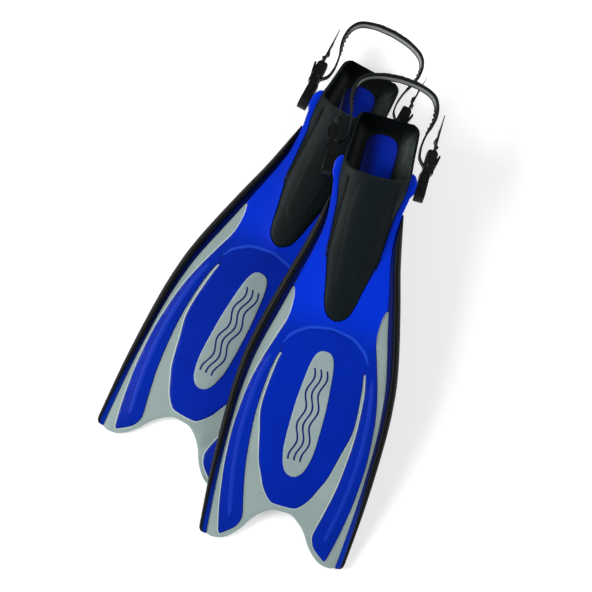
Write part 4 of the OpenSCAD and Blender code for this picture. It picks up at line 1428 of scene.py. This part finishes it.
def easedCopy(node, width, hollow=None):
    # the solid's own shape with its outward edges eased, except those inside its hollow
    bm = bmesh.new()
    bm.from_mesh(frame["nodes"][node].data)
    bmesh.ops.remove_doubles(bm, verts=bm.verts, dist=1e-6)
    bmesh.ops.dissolve_limit(bm, angle_limit=radians(flatAngle), verts=bm.verts, edges=bm.edges)
    sharp = [e for e in bm.edges if e.is_manifold and e.is_convex
             and e.calc_face_angle(0) > radians(sharpAngle)]
    if hollow:
        sharp = [e for e in sharp if not all(hollow(v.co) for v in e.verts)]
    bmesh.ops.bevel(bm, geom=sharp, offset=width * metre, segments=2, profile=0.5, affect="EDGES",
                    material=-1, clamp_overlap=True)
    return bm


def inSlot(matrix):
    # tells which points lie in the slot that takes the tongue
    back = matrix.inverted()
    low, high, half = buckle["slot"]

    def test(co):
        p = back @ co
        return abs(p.z) < half and low < p.y < high
    return test


def addBar(bm, matrix, place, size, ease, turn=0):
    # a small rounded block, place and size in the buckle's millimetres, turned about the strap's width
    block = matrix @ Matrix.Translation(place) @ Matrix.Rotation(turn, 4, "Z") @ Matrix.Diagonal((*size, 1))
    verts = bmesh.ops.create_cube(bm, size=1, matrix=block)["verts"]
    edges = list({e for v in verts for e in v.link_edges})
    bmesh.ops.bevel(bm, geom=edges, offset=ease * metre, segments=2, profile=0.5, affect="EDGES", material=-1)


def addRing(bm, matrix, out, radius, thick):
    # a rounded ring about the stud's axis
    start = matrix @ Matrix.Translation((out, radius, 0))
    around, steps = buckle["ringPoints"]
    circle = bmesh.ops.create_circle(bm, segments=around, radius=thick, matrix=start)["verts"]
    edges = list({e for v in circle for e in v.link_edges})
    axis = (matrix.to_3x3() @ Vector((1, 0, 0))).normalized()
    bmesh.ops.spin(bm, geom=circle + edges, cent=matrix.translation, axis=axis, angle=radians(360),
                   steps=steps, use_merge=True)


def dressBase(bm, m):
    addRing(bm, m, buckle["base"][1], *buckle["ring"])
    middle = sum(buckle["base"]) / 2
    for end in (-1, 1):
        for u in buckle["ribs"]:
            place = (middle, u, end * (buckle["half"] + buckle["proud"]))
            addBar(bm, m, place, buckle["rib"], buckle["ribEase"])


def dressFrame(bm, m):
    for end in (-1, 1):
        for v in buckle["edgeLines"]:
            place = (v, buckle["lineMiddle"], end * (buckle["half"] + buckle["proud"]))
            addBar(bm, m, place, buckle["edgeLine"], buckle["lineEase"])


def dressLever(bm, m):
    foot, tip = Vector(buckle["leverFoot"]), Vector(buckle["leverTip"])
    lean = atan((tip.x - foot.x) / (tip.y - foot.y))
    for u in buckle["grips"]:
        v = foot.x + (u - foot.y) * tan(lean)
        addBar(bm, m, (v + buckle["proud"], u, 0), buckle["grip"], buckle["gripEase"], -lean)


def dressButton(bm, m, end):
    v, face = buckle["button"]
    for u in buckle["ridges"]:
        addBar(bm, m, (v, u, end * (face + buckle["proud"] / 2)), buckle["ridge"], buckle["ribEase"])


def makeBuckle(fin, name, side):
    m = buckleMatrix(fin, side)
    label = fin + "_" + name
    made = {part: easedCopy(label + part, ease, inSlot(m) if part == "_buckle_base" else None)
            for part, ease in eases.items()}
    dressBase(made["_buckle_base"], m)
    dressFrame(made["_buckle_frame"], m)
    dressLever(made["_ratchet_lever"], m)
    bodies = {"_buckle_base": fin + "_strap", "_buckle_frame": fin + "_strap",
              "_ratchet_lever": label + "_lever", "_strap_roller": label + "_roller"}
    for part, end in (("_top_button", 1), ("_bottom_button", -1)):
        made[part] = easedCopy(label + part, buttonEase)
        dressButton(made[part], m, end)
        bodies[part] = label + part
    for part, bm in made.items():
        makePiece(fin + "." + name + part, bm, Matrix.Identity(4), bodies[part], "bucklePlastic",
                  [label + part], sharp=60, eased=True)
        bm.free()


plainParts = (("strap_studs", "bucklePlastic", "buckle_plastic", "_fin", 0.6),
              ("buckle_pins", "pinSteel", "pin_steel", "_strap", 0.25),
              ("outsole", "soleRubber", "black_rubber", "_fin", 0.8))
for fin in fins:
    for name, side in sides.items():
        makeBuckle(fin, name, side)
    for part, look, slot, body, ease in plainParts:
        node = fin + "_" + part
        bm = easedCopy(node, ease)
        makePiece(fin + "." + part, bm, Matrix.Identity(4), fin + body, look, [node], sharp=60,
                  eased=True)
        bm.free()
print("buckles, studs, pins and soles made")

# Camera, floor and light
cameraRest = {"place": (56.4, -434.1, 2500), "yaw": 22.17, "tip": 5.12, "roll": -1.55, "focus": 1700.2,
              "picture": 592, "sensor": 36, "reach": 20}  # focus and picture in pixels
studio = {"floor": (226, 230), "floorSize": 40, "floorDrop": 0.6, "glow": 0.42, "skyFall": 0.95,
          "skyEdge": (0.04, 0.78), "aim": (0, -0.15, 0.05)}
lamps = {"keySoftbox": ((-1.9, -0.9, 1.7), 1.5, 75), "fillSoftbox": ((1.6, 1.0, 1.9), 1.8, 40)}


def makeCamera():
    data = bpy.data.cameras.new("photoView")
    data.sensor_width = cameraRest["sensor"]
    data.lens = cameraRest["focus"] * cameraRest["sensor"] / cameraRest["picture"]
    data.clip_end = cameraRest["reach"]
    camera = bpy.data.objects.new("photoView", data)
    turn = Matrix.Identity(4)
    for name, axis in (("yaw", "Z"), ("tip", "X"), ("roll", "Y")):
        turn = turn @ Matrix.Rotation(radians(cameraRest[name]), 4, axis)
    camera.matrix_world = Matrix.Translation(Vector(cameraRest["place"]) * metre) @ turn
    bpy.context.scene.collection.objects.link(camera)
    bpy.context.scene.camera = camera


def makeFloor():
    # pale floor that keeps the shadow and reads white to the camera and to reflections
    bm = bmesh.new()
    bmesh.ops.create_grid(bm, x_segments=8, y_segments=8, size=studio["floorSize"])
    mesh = bpy.data.meshes.new("studioFloor")
    bm.to_mesh(mesh)
    bm.free()
    floor = bpy.data.objects.new("studioFloor", mesh)
    floor.location.z = -studio["floorDrop"] * metre
    bpy.context.scene.collection.objects.link(floor)
    f = Finish("floorWhite", Roughness=0.9, Specular_IOR_Level=0)
    dark, light = studio["floor"]
    f.feed("Base Color", f.mix(f.noise(3, 2), ink(dark, dark, dark), ink(light, light, light)))
    rays = [f.add("ShaderNodeLightPath", {}, {}, name) for name in
            ("Is Camera Ray", "Is Glossy Ray", "Is Transmission Ray")]
    strength = studio["glow"] * (rays[0] + rays[1] + rays[2])
    glow = f.add("ShaderNodeEmission", {}, {"Color": (1, 1, 1, 1), "Strength": strength})
    both = f.add("ShaderNodeAddShader", {}, {0: Wire(f, f.shader.outputs[0]), 1: glow})
    f.tree.links.new(both.socket, f.tree.nodes["Material Output"].inputs["Surface"])
    mesh.materials.append(f.material)


def makeLamp(name, place, size, power):
    data = bpy.data.lights.new(name, "AREA")
    data.shape = "RECTANGLE"
    data.size, data.size_y = size, size
    data.energy = power
    lamp = bpy.data.objects.new(name, data)
    lamp.location = place
    lamp.rotation_euler = (Vector(studio["aim"]) - Vector(place)).to_track_quat("-Z", "Y").to_euler()
    bpy.context.scene.collection.objects.link(lamp)


def makeSky():
    # bright at the horizon and dim overhead
    world = bpy.data.worlds.new("studioWorld")
    world.use_nodes = True
    sky = Nodes(world.node_tree)
    up = sky.add("ShaderNodeSeparateXYZ", {}, {0: sky.place("Generated")}, "Z")
    level = 1 - studio["skyFall"] * sky.ease(up, *studio["skyEdge"])
    background = sky.tree.nodes["Background"]
    background.inputs["Color"].default_value = (1, 1, 1, 1)
    sky.tree.links.new(level.socket, background.inputs["Strength"])
    bpy.context.scene.world = world


makeCamera()
makeFloor()
for name, (place, size, power) in lamps.items():
    makeLamp(name, place, size, power)
makeSky()
bpy.context.scene.view_settings.view_transform = "Standard"
print("camera, floor and light set")
